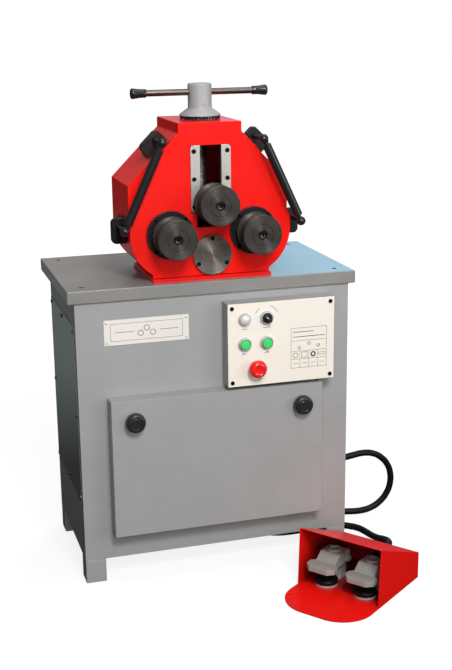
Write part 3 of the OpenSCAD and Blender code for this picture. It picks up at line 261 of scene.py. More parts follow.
def even(obj: Obj) -> Obj:
    """Shade an object smooth, with its large flat faces kept flat.

    Args:
        obj: The object.

    Returns:
        The same object.
    """
    smooth(obj)
    modifier = obj.modifiers.new("even", "WEIGHTED_NORMAL")
    modifier.keep_sharp = True
    bpy.ops.object.modifier_apply(modifier=modifier.name)
    return obj


def round_corners(
    obj: Obj, width: float, segments: int = 2, least: float = 0.0, where: Spot | None = None
) -> None:
    """Bevel the sharp corners of an object.

    Args:
        obj: The object to round.
        width: Width of the bevel.
        segments: Faces across the bevel.
        least: Corners shorter than this stay sharp.
        where: Says of an edge's middle whether it is rounded; all are if it is left out.
    """

    def chosen(edge: bmesh.types.BMEdge) -> bool:
        """Say whether an edge is rounded.

        Args:
            edge: The edge.

        Returns:
            Whether it is a corner that is sharp and long enough, in the right place.
        """
        if len(edge.link_faces) != 2 or edge.calc_length() < least * MM:
            return False
        middle = (edge.verts[0].co + edge.verts[1].co) / 2 / MM
        return edge.calc_face_angle(0.0) > SHARP_ANGLE and (where is None or where(middle))

    with editing(obj):
        if pick(obj, Pick.EDGE, chosen):
            bpy.ops.mesh.bevel(offset=width * MM, segments=segments, affect="EDGES", clamp_overlap=False)


def skin_area(obj: Obj) -> float:
    """Area of all the triangles of an object."""
    obj.data.calc_loop_triangles()
    return sum(triangle.area for triangle in obj.data.loop_triangles)


def set_at(obj: Obj, place: Point, turn: float = 0.0, axis: Axis = Axis.Y) -> Obj:
    """Turn a piece's mesh about an axis through the origin, then carry it to its place.

    Args:
        obj: The piece.
        place: Where its origin goes.
        turn: Angle of the turn in degrees.
        axis: Axis of the turn.

    Returns:
        The same piece.
    """
    spin = Matrix.Rotation(math.radians(turn), 4, axis.name)
    obj.data.transform(Matrix.Translation(Vector(place) * MM) @ spin)
    return obj


def block(name: str, low: Point, high: Point, width: float = 0.0, segments: int = 2) -> Obj:
    """Model a rounded block between two corners.

    Args:
        name: Name of the piece.
        low: Lowest corner.
        high: Highest corner.
        width: Width of the bevel on its corners, zero for none.
        segments: Faces across the bevel.

    Returns:
        The block.
    """
    obj = started(name, bpy.ops.mesh.primitive_cube_add, 1.0)
    box = Box(Vector(low), Vector(high))
    obj.data.transform(Matrix.Diagonal((*(box.size * MM), 1.0)))
    set_at(obj, box.mid)
    if width:
        round_corners(obj, width, segments)
    return even(obj)


def lathe(
    name: str, profile: Profile, place: Point, steps: int, axis: Axis = Axis.Y, key: float = 0.0
) -> Obj:
    """Turn a profile into a closed piece.

    Args:
        name: Name of the piece.
        profile: Points as radius and height along the axis, in order.
        place: Where height zero lies on the axis.
        steps: Faces round the piece.
        axis: The axis of turning.
        key: Radius of a socket whose wall is drawn in to a hexagon, zero for none.

    Returns:
        The turned piece.
    """
    obj = started(name, bpy.ops.mesh.primitive_plane_add, MM)
    points = [Vector((radius, 0.0, height)) * MM for radius, height in profile]
    with editing(obj):
        mesh = bmesh.from_edit_mesh(obj.data)
        mesh.verts.ensure_lookup_table()
        for vert in mesh.verts[1:]:
            vert.select_set(True)
        bmesh.update_edit_mesh(obj.data)
        bpy.ops.mesh.delete(type="VERT")
        mesh = bmesh.from_edit_mesh(obj.data)
        mesh.verts.ensure_lookup_table()
        mesh.verts[0].co = points[0]
        bmesh.update_edit_mesh(obj.data)
        bpy.ops.mesh.select_all(action="SELECT")
        for start, end in zip(points, points[1:]):
            bpy.ops.mesh.extrude_vertices_move(TRANSFORM_OT_translate={"value": tuple(end - start)})
        bpy.ops.mesh.select_all(action="SELECT")
        bpy.ops.mesh.spin(steps=steps, angle=2 * math.pi, center=ORIGIN, axis=Axis.Z.along)
        bpy.ops.mesh.select_all(action="SELECT")
        bpy.ops.mesh.remove_doubles(threshold=WELD)
        bpy.ops.mesh.normals_make_consistent(inside=False)
    for vert in obj.data.vertices:
        if WELD < math.hypot(vert.co.x, vert.co.y) < key * MM + WELD:
            turn = math.atan2(vert.co.y, vert.co.x) % SIXTH - SIXTH / 2
            flat = math.cos(SIXTH / 2) / math.cos(turn)
            vert.co = (vert.co.x * flat, vert.co.y * flat, vert.co.z)
    obj.data.transform(axis.from_z)
    return smooth(set_at(obj, place))


def widened(shares: Profile, radius: float) -> list[Flat]:
    """Widen a profile whose radii are shares of a radius."""
    return [(share * radius, height) for share, height in shares]


def joined(pieces: Sequence[Obj], name: str) -> Obj:
    """Join several pieces into the first and name it.

    Args:
        pieces: The pieces.
        name: Name of the whole.

    Returns:
        The whole.
    """
    focus(pieces[0])
    for piece in pieces[1:]:
        piece.select_set(True)
    if len(pieces) > 1:
        bpy.ops.object.join()
    pieces[0].name = name
    return pieces[0]


# Shared shader effects


class Tree:
    """A shader node tree while it is wired."""

    def __init__(self, tree: bpy.types.NodeTree) -> None:
        """Start on an empty tree."""
        self.tree = tree
        tree.nodes.clear()

    def add(self, kind: str, inputs: dict | None = None, **settings: object) -> bpy.types.Node:
        """Add a node.

        Args:
            kind: The node's class name, without its leading ShaderNode.
            inputs: Values, colours or sockets for its inputs, by name or number.
            settings: Properties of the node.

        Returns:
            The node.
        """
        node = self.tree.nodes.new("ShaderNode" + kind)
        for key, value in settings.items():
            setattr(node, key, value)
        for key, value in (inputs or {}).items():
            socket = node.inputs[key]
            if isinstance(value, Socket):
                self.tree.links.new(value, socket)
            else:
                socket.default_value = (*value, 1.0) if socket.type == "RGBA" else value
        return node

    def effect(self, kind: type[Effect], **values: object) -> Socket:
        """Place a shared effect with its own values."""
        return self.add("Group", values, node_tree=kind.group()).outputs[kind.result]

    def here(self) -> Socket:
        """The place on the piece."""
        return self.add("TexCoord").outputs["Object"]

    def math(self, operation: str, first: object, second: object = 0.0, clamp: bool = False) -> Socket:
        """The result of a Math node."""
        return self.add("Math", {0: first, 1: second}, operation=operation, use_clamp=clamp).outputs[0]

    def times(self, first: object, second: object) -> Socket:
        """The product of two values."""
        return self.math("MULTIPLY", first, second)

    def vector(self, operation: str, first: object, second: object = ORIGIN) -> Socket:
        """The result of a Vector Math node."""
        node = self.add("VectorMath", {0: first, 1: second}, operation=operation)
        return node.outputs["Value" if operation in ("LENGTH", "DOT_PRODUCT") else "Vector"]

    def arm(self, centre: object, across: object) -> Socket:
        """The shortest way here from the axis through a centre."""
        return self.vector("MULTIPLY", self.vector("SUBTRACT", self.here(), centre), across)

    def noise(self, scale: object, detail: float) -> Socket:
        """A noise over the piece."""
        return self.add("TexNoise", {"Vector": self.here(), "Scale": scale, "Detail": detail}).outputs[0]

    def span(
        self, value: object, low: object, high: object, to_low: float = 0.0, to_high: float = 1.0
    ) -> Socket:
        """Map a value from one span to another, clamped."""
        return self.add("MapRange", {0: value, 1: low, 2: high, 3: to_low, 4: to_high}).outputs[0]

    def mix(self, share: object, first: object, second: object) -> Socket:
        """Mix two colours by a share."""
        return self.add("Mix", {0: share, 6: first, 7: second}, data_type="RGBA").outputs[2]

    def cover(self, base: Socket, mask: Socket, share: float, colour: Colour) -> Socket:
        """Cover a base with a share of a colour where a mask is."""
        return self.mix(self.times(mask, share), base, colour)

    def bump(self, strength: float, distance: float, height: Socket) -> Socket:
        """The normal of a surface with a height on it."""
        return self.add("Bump", {"Strength": strength, "Distance": distance, "Height": height}).outputs[0]


class Effect(Tree):
    """A shader effect that more than one finish uses, as a node group that is built once."""

    title: str
    given: dict[str, object]
    result: str
    inputs: bpy.types.NodeOutputs

    @classmethod
    def group(cls) -> bpy.types.NodeTree:
        """Find the effect's group, or build it the first time.

        Returns:
            The group.
        """
        found = bpy.data.node_groups.get(cls.title)
        if found is not None:
            return found
        made = bpy.data.node_groups.new(cls.title, "ShaderNodeTree")
        for key, value in cls.given.items():
            kind = "NodeSocketVector" if isinstance(value, tuple) else "NodeSocketFloat"
            made.interface.new_socket(key, in_out="INPUT", socket_type=kind).default_value = value
        made.interface.new_socket(cls.result, in_out="OUTPUT", socket_type="NodeSocketFloat")
        effect = cls(made)
        effect.inputs = made.nodes.new("NodeGroupInput").outputs
        leave = made.nodes.new("NodeGroupOutput")
        made.links.new(effect.wire(), leave.inputs[cls.result])
        return made

    def wire(self) -> Socket:
        """Wire the group, from its inputs to what it puts out."""
        raise NotImplementedError


class Mottle(Effect):
    """Slow variation of tone over a surface, from zero to one."""

    title, given, result = "surface mottle", {"Scale": 8.0}, "Tone"
    slow_detail, fine_detail = 3.0, 5.0
    finer, fine_share = 7.3, 0.45
    dark, light = 0.45, 1.0

    def wire(self) -> Socket:
        """Add two noises of different size.

        Returns:
            The tone.
        """
        scale = self.inputs["Scale"]
        slow = self.noise(scale, self.slow_detail)
        fine = self.noise(self.times(scale, self.finer), self.fine_detail)
        both = self.math("ADD", slow, self.times(fine, self.fine_share))
        return self.span(both, self.dark, self.light)


class SkinGrain(Effect):
    """Fine height of a sprayed, cast or moulded skin."""

    title, given, result = "skin grain", {"Scale": 500.0}, "Height"
    detail = 2.0

    def wire(self) -> Socket:
        """Take one noise as the height."""
        return self.noise(self.inputs["Scale"], self.detail)


class EdgeRub(Effect):
    """Mask of corners that hands and tools have rubbed; on the bolts and rolls it also lays a painted
    highlight.
    """

    title, given, result = "edge rub", {"Radius": 1.5 * MM, "Scale": 60.0}, "Mask"
    samples, detail = 4, 6.0
    straight, bent = 0.98, 0.75
    whole, worn = 0.42, 0.62

    def wire(self) -> Socket:
        """Compare the true normal with one rounded over the corners, and break it up.

        Returns:
            The mask.
        """
        soft = self.add("Bevel", {"Radius": self.inputs["Radius"]}, samples=self.samples).outputs[0]
        dot = self.vector("DOT_PRODUCT", soft, self.add("NewGeometry").outputs["Normal"])
        patch = self.noise(self.inputs["Scale"], self.detail)
        return self.times(self.span(dot, self.straight, self.bent), self.span(patch, self.whole, self.worn))


class LowDust(Effect):
    """Mask of dust that gathers near the floor."""

    title, given, result = "low dust", {"Top": 0.2, "Scale": 14.0}, "Mask"
    detail = 6.0
    clean, dusty, least = 0.35, 0.7, 0.2

    def wire(self) -> Socket:
        """Fade a broken dust mask with height.

        Returns:
            The mask.
        """
        height = self.add("SeparateXYZ", {0: self.here()}).outputs["Z"]
        fade = self.span(height, 0.0, self.inputs["Top"], 1.0, 0.0)
        patch = self.noise(self.inputs["Scale"], self.detail)
        return self.times(fade, self.span(patch, self.clean, self.dusty, self.least))


class RecessShade(Effect):
    """Mask of deep places that walls close in on, darkened as painted shade."""

    title, given, result = "deep recess", {"Reach": 0.1}, "Mask"
    samples = 6
    open_to, closed_to = 0.34, 0.10

    def wire(self) -> Socket:
        """Take the places that walls close in on."""
        near = self.add("AmbientOcclusion", {"Distance": self.inputs["Reach"]}, samples=self.samples)
        return self.span(near.outputs["AO"], self.open_to, self.closed_to)


class ToolRings(Effect):
    """Rings that a turning tool leaves about an axis."""

    title, result = "tool rings", "Ring"
    given = {"Centre": ORIGIN, "Across": Axis.Y.across, "Pitch": 0.8 * MM}
    fine_share, broad_share = 0.22, 0.6
    broad_scale, detail = 0.55, 3.0

    def wire(self) -> Socket:
        """Turn the distance from the axis into fine and broad rings.

        Returns:
            The rings.
        """
        radius = self.vector("LENGTH", self.arm(self.inputs["Centre"], self.inputs["Across"]))
        turns = self.math("DIVIDE", radius, self.inputs["Pitch"])
        fine = self.math("SINE", self.times(turns, 2 * math.pi))
        given = {"W": turns, "Scale": self.broad_scale, "Detail": self.detail}
        broad = self.add("TexNoise", given, noise_dimensions="1D").outputs[0]
        share = self.times(self.math("ADD", fine, 1.0), self.fine_share)
        return self.math("ADD", share, self.times(broad, self.broad_share))


class DrawnLines(Effect):
    """Lines of a ground or drawn metal, stretched along one direction."""

    title, given, result = "drawn lines", {"Squeeze": (900.0, 900.0, 30.0)}, "Line"
    detail = 4.0
    low, high = 0.3, 0.7

    def wire(self) -> Socket:
        """Squeeze a noise so that it runs in lines.

        Returns:
            The lines.
        """
        squeezed = self.vector("MULTIPLY", self.here(), self.inputs["Squeeze"])
        noise = self.add("TexNoise", {"Vector": squeezed, "Scale": 1.0, "Detail": self.detail})
        return self.span(noise.outputs[0], self.low, self.high)


# Finishes


@dataclass(frozen=True)
class Finish:
    """A finish with a name; each kind wires its own skin."""

    name: str
    colour: Colour

    def material(self) -> bpy.types.Material:
        """Find the finish's material, or make it the first time.

        Returns:
            The material.
        """
        found = bpy.data.materials.get(self.name)
        if found is not None:
            return found
        made = bpy.data.materials.new(self.name)
        made.use_nodes = True
        made.diffuse_color = (*self.colour, 1.0)
        tree = Tree(made.node_tree)
        shader = tree.add("BsdfPrincipled", self.skin(tree))
        tree.add("OutputMaterial", {"Surface": shader.outputs[0]})
        return made

    def skin(self, tree: Tree) -> dict[str, object]:
        """Wire what the shader reads, and return it by the shader's inputs."""
        raise NotImplementedError

    def tones(self, tree: Tree, mask: Socket, dark: float, light: float) -> Socket:
        """Vary the finish's colour between two shares of it.

        Args:
            tree: The material's tree.
            mask: Zero where it is dark and one where it is light.
            dark: Share of the colour where it is dark.
            light: Share of the colour where it is light.

        Returns:
            The colour.
        """
        ends = [tuple(min(1.0, part * share) for part in self.colour) for share in (dark, light)]
        return tree.mix(mask, *ends)


@dataclass(frozen=True)
class Paint(Finish):
    """Sprayed paint with orange peel, rubbed corners, painted shade in its deep recesses and dust near the
    floor.
    """

    rough: float = 0.35
    uneven: Flat = (1.18, 0.85)
    gloss: float = 0.5
    peel: float = 0.08
    peel_scale: float = 420.0
    peel_height: float = 0.4 * MM
    tone: float = 0.10
    tone_scale: float = 7.0
    rub: float = 0.35
    rub_radius: float = 1.4 * MM
    rub_scale: float = 70.0
    bare: Colour = (0.30, 0.30, 0.30)
    # Painted shade: how strongly deep recesses are darkened, how far walls count, and the dark colour laid
    # there.
    recess_shade: float = 0.0
    recess_shade_reach: float = 0.1
    recess_shade_colour: Colour = (0.010, 0.007, 0.006)
    dust: float = 0.0
    dust_top: float = 0.25
    dust_rough: float = 0.4
    dust_colour: Colour = (0.36, 0.33, 0.29)

    def skin(self, tree: Tree) -> dict[str, object]:
        """Wire tone, rubbed corners, painted recess shade, dust and peel.

        Args:
            tree: The material's tree.

        Returns:
            What the shader's inputs get.
        """
        tone = tree.effect(Mottle, Scale=self.tone_scale)
        rub = tree.effect(EdgeRub, Radius=self.rub_radius, Scale=self.rub_scale)
        peel = tree.effect(SkinGrain, Scale=self.peel_scale)
        base = self.tones(tree, tone, 1 - self.tone, 1 + self.tone)
        base = tree.cover(base, rub, self.rub, self.bare)
        # Painted shade: darken where walls close in, standing in for the shade in deep recesses.
        if self.recess_shade:
            deep = tree.effect(RecessShade, Reach=self.recess_shade_reach)
            base = tree.cover(base, deep, self.recess_shade, self.recess_shade_colour)
        rough = tree.span(tone, 0.0, 1.0, *(self.rough * share for share in self.uneven))
        if self.dust:
            share = tree.times(tree.effect(LowDust, Top=self.dust_top), self.dust)
            base = tree.mix(share, base, self.dust_colour)
            rough = tree.math("ADD", rough, tree.times(share, self.dust_rough), clamp=True)
        return {
            "Base Color": base,
            "Roughness": rough,
            "Normal": tree.bump(self.peel, self.peel_height, peel),
            "Specular IOR Level": self.gloss,
        }


@dataclass(frozen=True)
class Steel(Finish):
    """Ground or drawn steel, with lines along one direction and dull patches."""

    rough: float = 0.28
    uneven: Flat = (1.2, 0.8)
    lines: Flat = (0.82, 1.12)
    squeeze: Point = (900.0, 900.0, 30.0)
    line_depth: float = 0.06
    line_height: float = 0.2 * MM
    tone_scale: float = 22.0
    stain: Colour = (0.20, 0.16, 0.12)
    stained: float = 0.15
    stain_rough: float = 0.10
    rub: float = 0.0
    rub_radius: float = 0.8 * MM
    rub_scale: float = 90.0
    bright: Colour = (0.62, 0.61, 0.60)

    def skin(self, tree: Tree) -> dict[str, object]:
        """Wire lines, stains and bright corners.

        Args:
            tree: The material's tree.

        Returns:
            What the shader's inputs get.
        """
        line = tree.effect(DrawnLines, Squeeze=self.squeeze)
        tone = tree.effect(Mottle, Scale=self.tone_scale)
        base = tree.cover(self.tones(tree, line, *self.lines), tone, self.stained, self.stain)
        if self.rub:
            rub = tree.effect(EdgeRub, Radius=self.rub_radius, Scale=self.rub_scale)
            base = tree.cover(base, rub, self.rub, self.bright)
        rough = tree.span(line, 0.0, 1.0, *(self.rough * share for share in self.uneven))
        return {
            "Base Color": base,
            "Roughness": tree.math("ADD", rough, tree.times(tone, self.stain_rough)),
            "Normal": tree.bump(self.line_depth, self.line_height, line),
            "Metallic": 1.0,
        }


@dataclass(frozen=True)
class Turned(Finish):
    """Metal turned on a lathe: rings about an axis, with corners worn bright."""

    centre: Point = ORIGIN
    axis: Axis = Axis.Y
    pitch: float = 0.9 * MM
    ring: float = 0.25
    ring_height: float = 0.15 * MM
    contrast: float = 0.3
    rough: float = 0.38
    uneven: Flat = (0.85, 1.25)
    metal: float = 1.0
    edge: float = 1.0
    streak: float = 0.0
    lean: float = 10 * MM
    tone_scale: float = 30.0
    stain: Colour = (0.12, 0.08, 0.05)
    stained: float = 0.12
    rub: float = 0.6
    rub_radius: float = 0.9 * MM
    rub_scale: float = 110.0
    bright: Colour = (0.45, 0.44, 0.43)

    def about(self, mid: Vector, name: str | None = None) -> Turned:
        """The same finish with its rings about a place in millimetres, under a name of its own."""
        return replace(self, centre=tuple(mid * MM), name=name or self.name)

    def skin(self, tree: Tree) -> dict[str, object]:
        """Wire tool rings, stains and bright corners.

        Args:
            tree: The material's tree.

        Returns:
            What the shader's inputs get.
        """
        ring = tree.effect(ToolRings, Centre=self.centre, Across=self.axis.across, Pitch=self.pitch)
        tone = tree.effect(Mottle, Scale=self.tone_scale)
        rub = tree.effect(EdgeRub, Radius=self.rub_radius, Scale=self.rub_scale)
        base = self.tones(tree, ring, 1 - self.contrast, 1 + self.contrast)
        base = tree.cover(base, tone, self.stained, self.stain)
        skin = {
            "Base Color": tree.cover(base, rub, self.rub, self.bright),
            "Roughness": tree.span(tone, 0.0, 1.0, *(self.rough * share for share in self.uneven)),
            "Normal": tree.bump(self.ring, self.ring_height, ring),
            "Metallic": self.metal,
            "Specular Tint": (self.edge, self.edge, self.edge),
        }
        if self.streak:
            skin |= {"Anisotropic": self.streak, "Tangent": self.across_rings(tree)}
        return skin

    def across_rings(self, tree: Tree) -> Socket:
        """Find the direction across the tool's rings, out from the axis on a face and along it on a side.

        Args:
            tree: The material's tree.

        Returns:
            The direction, in the world.
        """
        lean = tuple(self.lean * part for part in self.axis.along)
        way = tree.vector("ADD", tree.arm(self.centre, self.axis.across), lean)
        spaces = {"vector_type": "VECTOR", "convert_from": "OBJECT", "convert_to": "WORLD"}
        return tree.add("VectorTransform", {0: way}, **spaces).outputs[0]


@dataclass(frozen=True)
class Moulded(Finish):
    """Moulded plastic or rubber, with a fine grain, and a painted glow where one is given."""

    rough: float = 0.4
    uneven: Flat = (0.85, 1.2)
    grain: float = 0.10
    grain_scale: float = 900.0
    grain_height: float = 0.15 * MM
    tone: float = 0.14
    tone_scale: float = 26.0
    coat: float = 0.0
    gloss: float = 0.5
    # Painted glow: a part lit from within though it is no lamp.
    glow: float = 0.0

    def skin(self, tree: Tree) -> dict[str, object]:
        """Wire tone and grain.

        Args:
            tree: The material's tree.

        Returns:
            What the shader's inputs get.
        """
        tone = tree.effect(Mottle, Scale=self.tone_scale)
        grain = tree.effect(SkinGrain, Scale=self.grain_scale)
        base = self.tones(tree, tone, 1 - self.tone, 1 + self.tone)
        skin = {
            "Base Color": base,
            "Roughness": tree.span(tone, 0.0, 1.0, *(self.rough * share for share in self.uneven)),
            "Normal": tree.bump(self.grain, self.grain_height, grain),
            "Coat Weight": self.coat,
            "Specular IOR Level": self.gloss,
        }
        # The painted glow: the colour is also emitted.
        if self.glow:
            skin |= {"Emission Color": base, "Emission Strength": self.glow}
        return skin


@dataclass(frozen=True)
class StudioPaper(Finish):
    """White paper on the floor, brighter away from the object."""

    rough: float = 0.9
    glow: float = 0.86
    near: float = 1.3
    far: float = 2.6

    def skin(self, tree: Tree) -> dict[str, object]:
        """Wire the glow by the distance from the middle.

        Args:
            tree: The material's tree.

        Returns:
            What the shader's inputs get.
        """
        away = tree.vector("LENGTH", tree.here())
        return {
            "Base Color": self.colour,
            "Emission Color": WHITE,
            "Emission Strength": tree.span(away, self.near, self.far, self.glow, 1.0),
            "Roughness": self.rough,
            "Specular IOR Level": 0.0,
        }


CABINET_GREY = Paint("cabinet grey", (0.318, 0.320, 0.320), rough=0.40, rub=0.30, bare=(0.46, 0.46, 0.46),
                     dust=0.22, tone=0.05)
TABLE_GREY = Paint("table grey", (0.246, 0.238, 0.227), rough=0.19, peel=0.015, tone=0.08, rub=0.20,
                   bare=(0.46, 0.46, 0.45))
# The side covers take the cabinet's grey darkened as painted shade, for the shade on the machine's left
# side.
SHADED_COVER_GREY = Paint("side cover gloss", (0.165, 0.170, 0.170), rough=0.09, peel=0.02, tone=0.06, rub=0.25,
                   dust=0.15)
PLATE_CREAM = Paint("control plate cream", (0.795, 0.745, 0.665), rough=0.42, peel=0.03, tone=0.02, rub=0.2,
                    bare=(0.54, 0.52, 0.47))
# The reds darken their deep recesses as painted shade: the slot in the head and the inside of the hood.
HEAD_RED = Paint("head red", (0.80, 0.0070, 0.004), rough=0.30, gloss=0.26, peel=0.02, tone=0.05, rub=0.16,
                 bare=(0.55, 0.04, 0.025), recess_shade=0.96, recess_shade_reach=0.2)
HOOD_RED = Paint("hood red", (0.78, 0.0065, 0.004), rough=0.30, gloss=0.28, peel=0.02, tone=0.04, rub=0.12,
                 bare=(0.50, 0.04, 0.03), recess_shade=0.92, recess_shade_reach=0.14)
NAME_WHITE = Paint("name plate white", (0.74, 0.70, 0.66), peel=0.02, tone=0.03, rub=0.15)
MARK_GREY = Paint("printed marks", (0.035, 0.035, 0.04), rough=0.5, peel=0.0, tone=0.05, rub=0.0)
MARK_WHITE = Paint("scale marks", (0.80, 0.80, 0.78), rough=0.5, peel=0.0, tone=0.05, rub=0.0)
MACHINE_DARK = Paint("machine enamel", (0.10, 0.105, 0.11), rough=0.45, peel=0.3, peel_scale=160.0,
                     tone=0.12, rub=0.4, bare=(0.22, 0.22, 0.22))
SCALE_BLACK = Paint("scale black", (0.010, 0.010, 0.011), rough=0.20, peel=0.02, tone=0.2, rub=0.3,
                    bare=(0.18, 0.18, 0.18))
BLACK_GLOSS = Paint("gloss black", (0.013, 0.013, 0.014), rough=0.24, peel=0.03, tone=0.2,
                    bare=(0.14, 0.14, 0.14))
BEZEL_SILVER = Paint("bezel silver", (0.44, 0.44, 0.435), rough=0.24, gloss=0.9, peel=0.0, tone=0.04,
                     rub=0.4, bare=(0.82, 0.82, 0.81))
CAST_GREY = Paint("pedal casting", (0.292, 0.294, 0.275), rough=0.42, peel=0.35, peel_scale=230.0,
                  tone=0.14, rub=0.6, bare=(0.52, 0.51, 0.48))
BRIGHT_STEEL = Steel("ground steel", (0.62, 0.61, 0.59))
RAIL_STEEL = Steel("rail steel", (0.80, 0.78, 0.745), rough=0.46, stained=0.10)
SCREW_STEEL = Steel("screw steel", (0.70, 0.69, 0.67), rough=0.24, stained=0.2)
BAR_STEEL = Steel("bar steel", (0.17, 0.16, 0.155), rough=0.30, squeeze=(30.0, 900.0, 900.0), rub=0.3)
BLACK_STEEL = Steel("blackened steel", (0.050, 0.050, 0.052), rough=0.36, stained=0.08, rub=0.45)
SCREW_BLACK = Steel("black screws", (0.030, 0.030, 0.032), rough=0.32, stained=0.05, rub=0.5)
# The bolts' corners are worn bright, and brightened further as a painted glint at the socket.
BOLT_STEEL = Steel("bolt steel", (0.13, 0.13, 0.125), rough=0.22, stained=0.1, rub=0.8)
ZINC = Steel("screw zinc", (0.24, 0.24, 0.23), rough=0.42)
BRONZE = Steel("bush bronze", (0.52, 0.36, 0.15), rough=0.35)
# The rolls' rims are worn bright, and brightened further as a painted highlight.
ROLL_BLACK = Turned("roll black oxide", (0.060, 0.057, 0.053), rough=0.48, metal=0.55, edge=0.35,
                    streak=0.85, ring=0.32, contrast=0.34, pitch=2.2 * MM, rub=0.9,
                    bright=(0.34, 0.33, 0.32))
DRIVE_STEEL = Turned("drive cover steel", (0.29, 0.275, 0.255), rough=0.46, metal=0.8, streak=0.8,
                     pitch=1.1 * MM, ring=0.55, rub=0.4, stain=(0.09, 0.046, 0.020), stained=0.8)
HUB_SILVER = Turned("hub silver", (0.37, 0.378, 0.378), axis=Axis.Z, rough=0.46, metal=0.18,
                    pitch=0.7 * MM, ring=0.10, contrast=0.08, rub=0.4, bright=(0.70, 0.70, 0.69),
                    stain=(0.25, 0.24, 0.22), stained=0.18)
BLACK_PLASTIC = Moulded("black plastic", (0.016, 0.016, 0.017), rough=0.34)
GRIP_BLACK = Moulded("bar end plastic", (0.012, 0.012, 0.012), rough=0.22, coat=0.2)
HOSE_BLACK = Moulded("hose rubber", (0.004, 0.0042, 0.0048), rough=0.46, gloss=0.22, grain=0.18,
                     grain_scale=380.0)
# The green caps carry a painted glow, though no lamp is in them.
BUTTON_GREEN_PAINTED_GLOW = Moulded("button green", (0.045, 0.56, 0.13), rough=0.25, grain=0.03, glow=0.18)
STOP_RED = Moulded("stop red", (0.78, 0.012, 0.012), rough=0.22, grain=0.03, coat=0.3)
LAMP_WHITE = Moulded("lamp lens", (0.66, 0.67, 0.68), rough=0.16, grain=0.03, coat=0.3)
STUDIO_WHITE = StudioPaper("studio white", (0.17, 0.17, 0.17))


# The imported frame


class PackedFrame:
    """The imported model: its nodes, the body each rides on and the slot each takes."""

    def __init__(self) -> None:
        """Load the frame and keep the box of the bare model."""
        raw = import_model()
        self.nodes: dict[str, Obj] = raw["nodes"]
        record = raw["record"]
        bodies = record["behaviour"]["bodies"]
        self.body_of = {node: body for body, names in bodies.items() for node in names}
        self.slot_of = {part["node"]: part["material_slot"] for part in record["subparts"]}
        self.cad_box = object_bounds()

    def box(self, node: str) -> Box:
        """A node's box at rest."""
        low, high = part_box(node)
        return Box(Vector(low) / MM, Vector(high) / MM)

    def coat(self, piece: Obj, finish: Finish) -> None:
        """Give a piece or node a finish.

        Args:
            piece: The piece, or the object of a node that keeps its own shape.
            finish: Its finish.
        """
        piece.data.materials.clear()
        piece.data.materials.append(finish.material())
        LOG.info("%s is finished in %s", piece.name, finish.name)

    def add(self, piece: Obj, finish: Finish, node: str, *stands_for: str) -> Obj:
        """Put a finished piece on a node's body.

        Args:
            piece: The new piece.
            finish: Its finish.
            node: The node whose body and slot it takes.
            stands_for: The nodes that it stands for, if any.

        Returns:
            The piece.
        """
        self.coat(piece, finish)
        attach(piece, self.body_of[node])
        if stands_for:
            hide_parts(*stands_for)
        LOG.info("%s rides on %s", piece.name, self.body_of[node])
        return piece

    def rounded(
        self, node: str, finish: Finish, width: float, segments: int = 2, least: float = 0.0,
        where: Spot | None = None,
    ) -> Obj:
        """Stand a copy of a node with rounded corners in its place.

        Args:
            node: The node to copy.
            finish: Finish of the copy.
            width: Width of the bevels; it is made narrower where the walls have no room for it.
            segments: Faces across a bevel.
            least: Corners shorter than this stay sharp.
            where: Says of an edge's middle whether it is rounded; all are if it is left out.

        Returns:
            The piece.
        """
        for share in BEVEL_SHARES:
            piece = bpy.data.objects.new(f"{node}_piece", self.nodes[node].data.copy())
            bpy.context.scene.collection.objects.link(piece)
            with editing(piece):
                bpy.ops.mesh.select_all(action="SELECT")
                bpy.ops.mesh.remove_doubles(threshold=WELD)
                bpy.ops.mesh.dissolve_limited(angle_limit=FLAT_ANGLE)
            plain = skin_area(piece)
            if share:
                round_corners(piece, width * share, segments, least, where)
            if skin_area(piece) < plain * MOST_GROWTH:
                break
            LOG.info("%s has no room for bevels of %.2f mm", node, width * share)
            bpy.data.objects.remove(piece)
        return self.add(even(piece), finish, node, node)


class Skin(NamedTuple):
    """How a node that keeps its main shape is dressed: its finish and the bevels of its corners."""

    node: str
    finish: Finish
    width: float
    segments: int = 2
    least: float = 0.0


@dataclass
class SubAssembly:
    """A part of the machine, with the nodes that are rounded and those that are only painted."""

    frame: PackedFrame
    skins: Sequence[Skin] = ()
    painted: Sequence[tuple[str, Finish]] = ()

    def build(self) -> None:
        """Dress the nodes that keep their main shape, then model the new pieces."""
        for skin in self.skins:
            self.frame.rounded(*skin)
        for node, finish in self.painted:
            self.frame.coat(self.frame.nodes[node], finish)
        self.model()

    def model(self) -> None:
        """Model the new pieces, where there are any."""


# Sub-assemblies


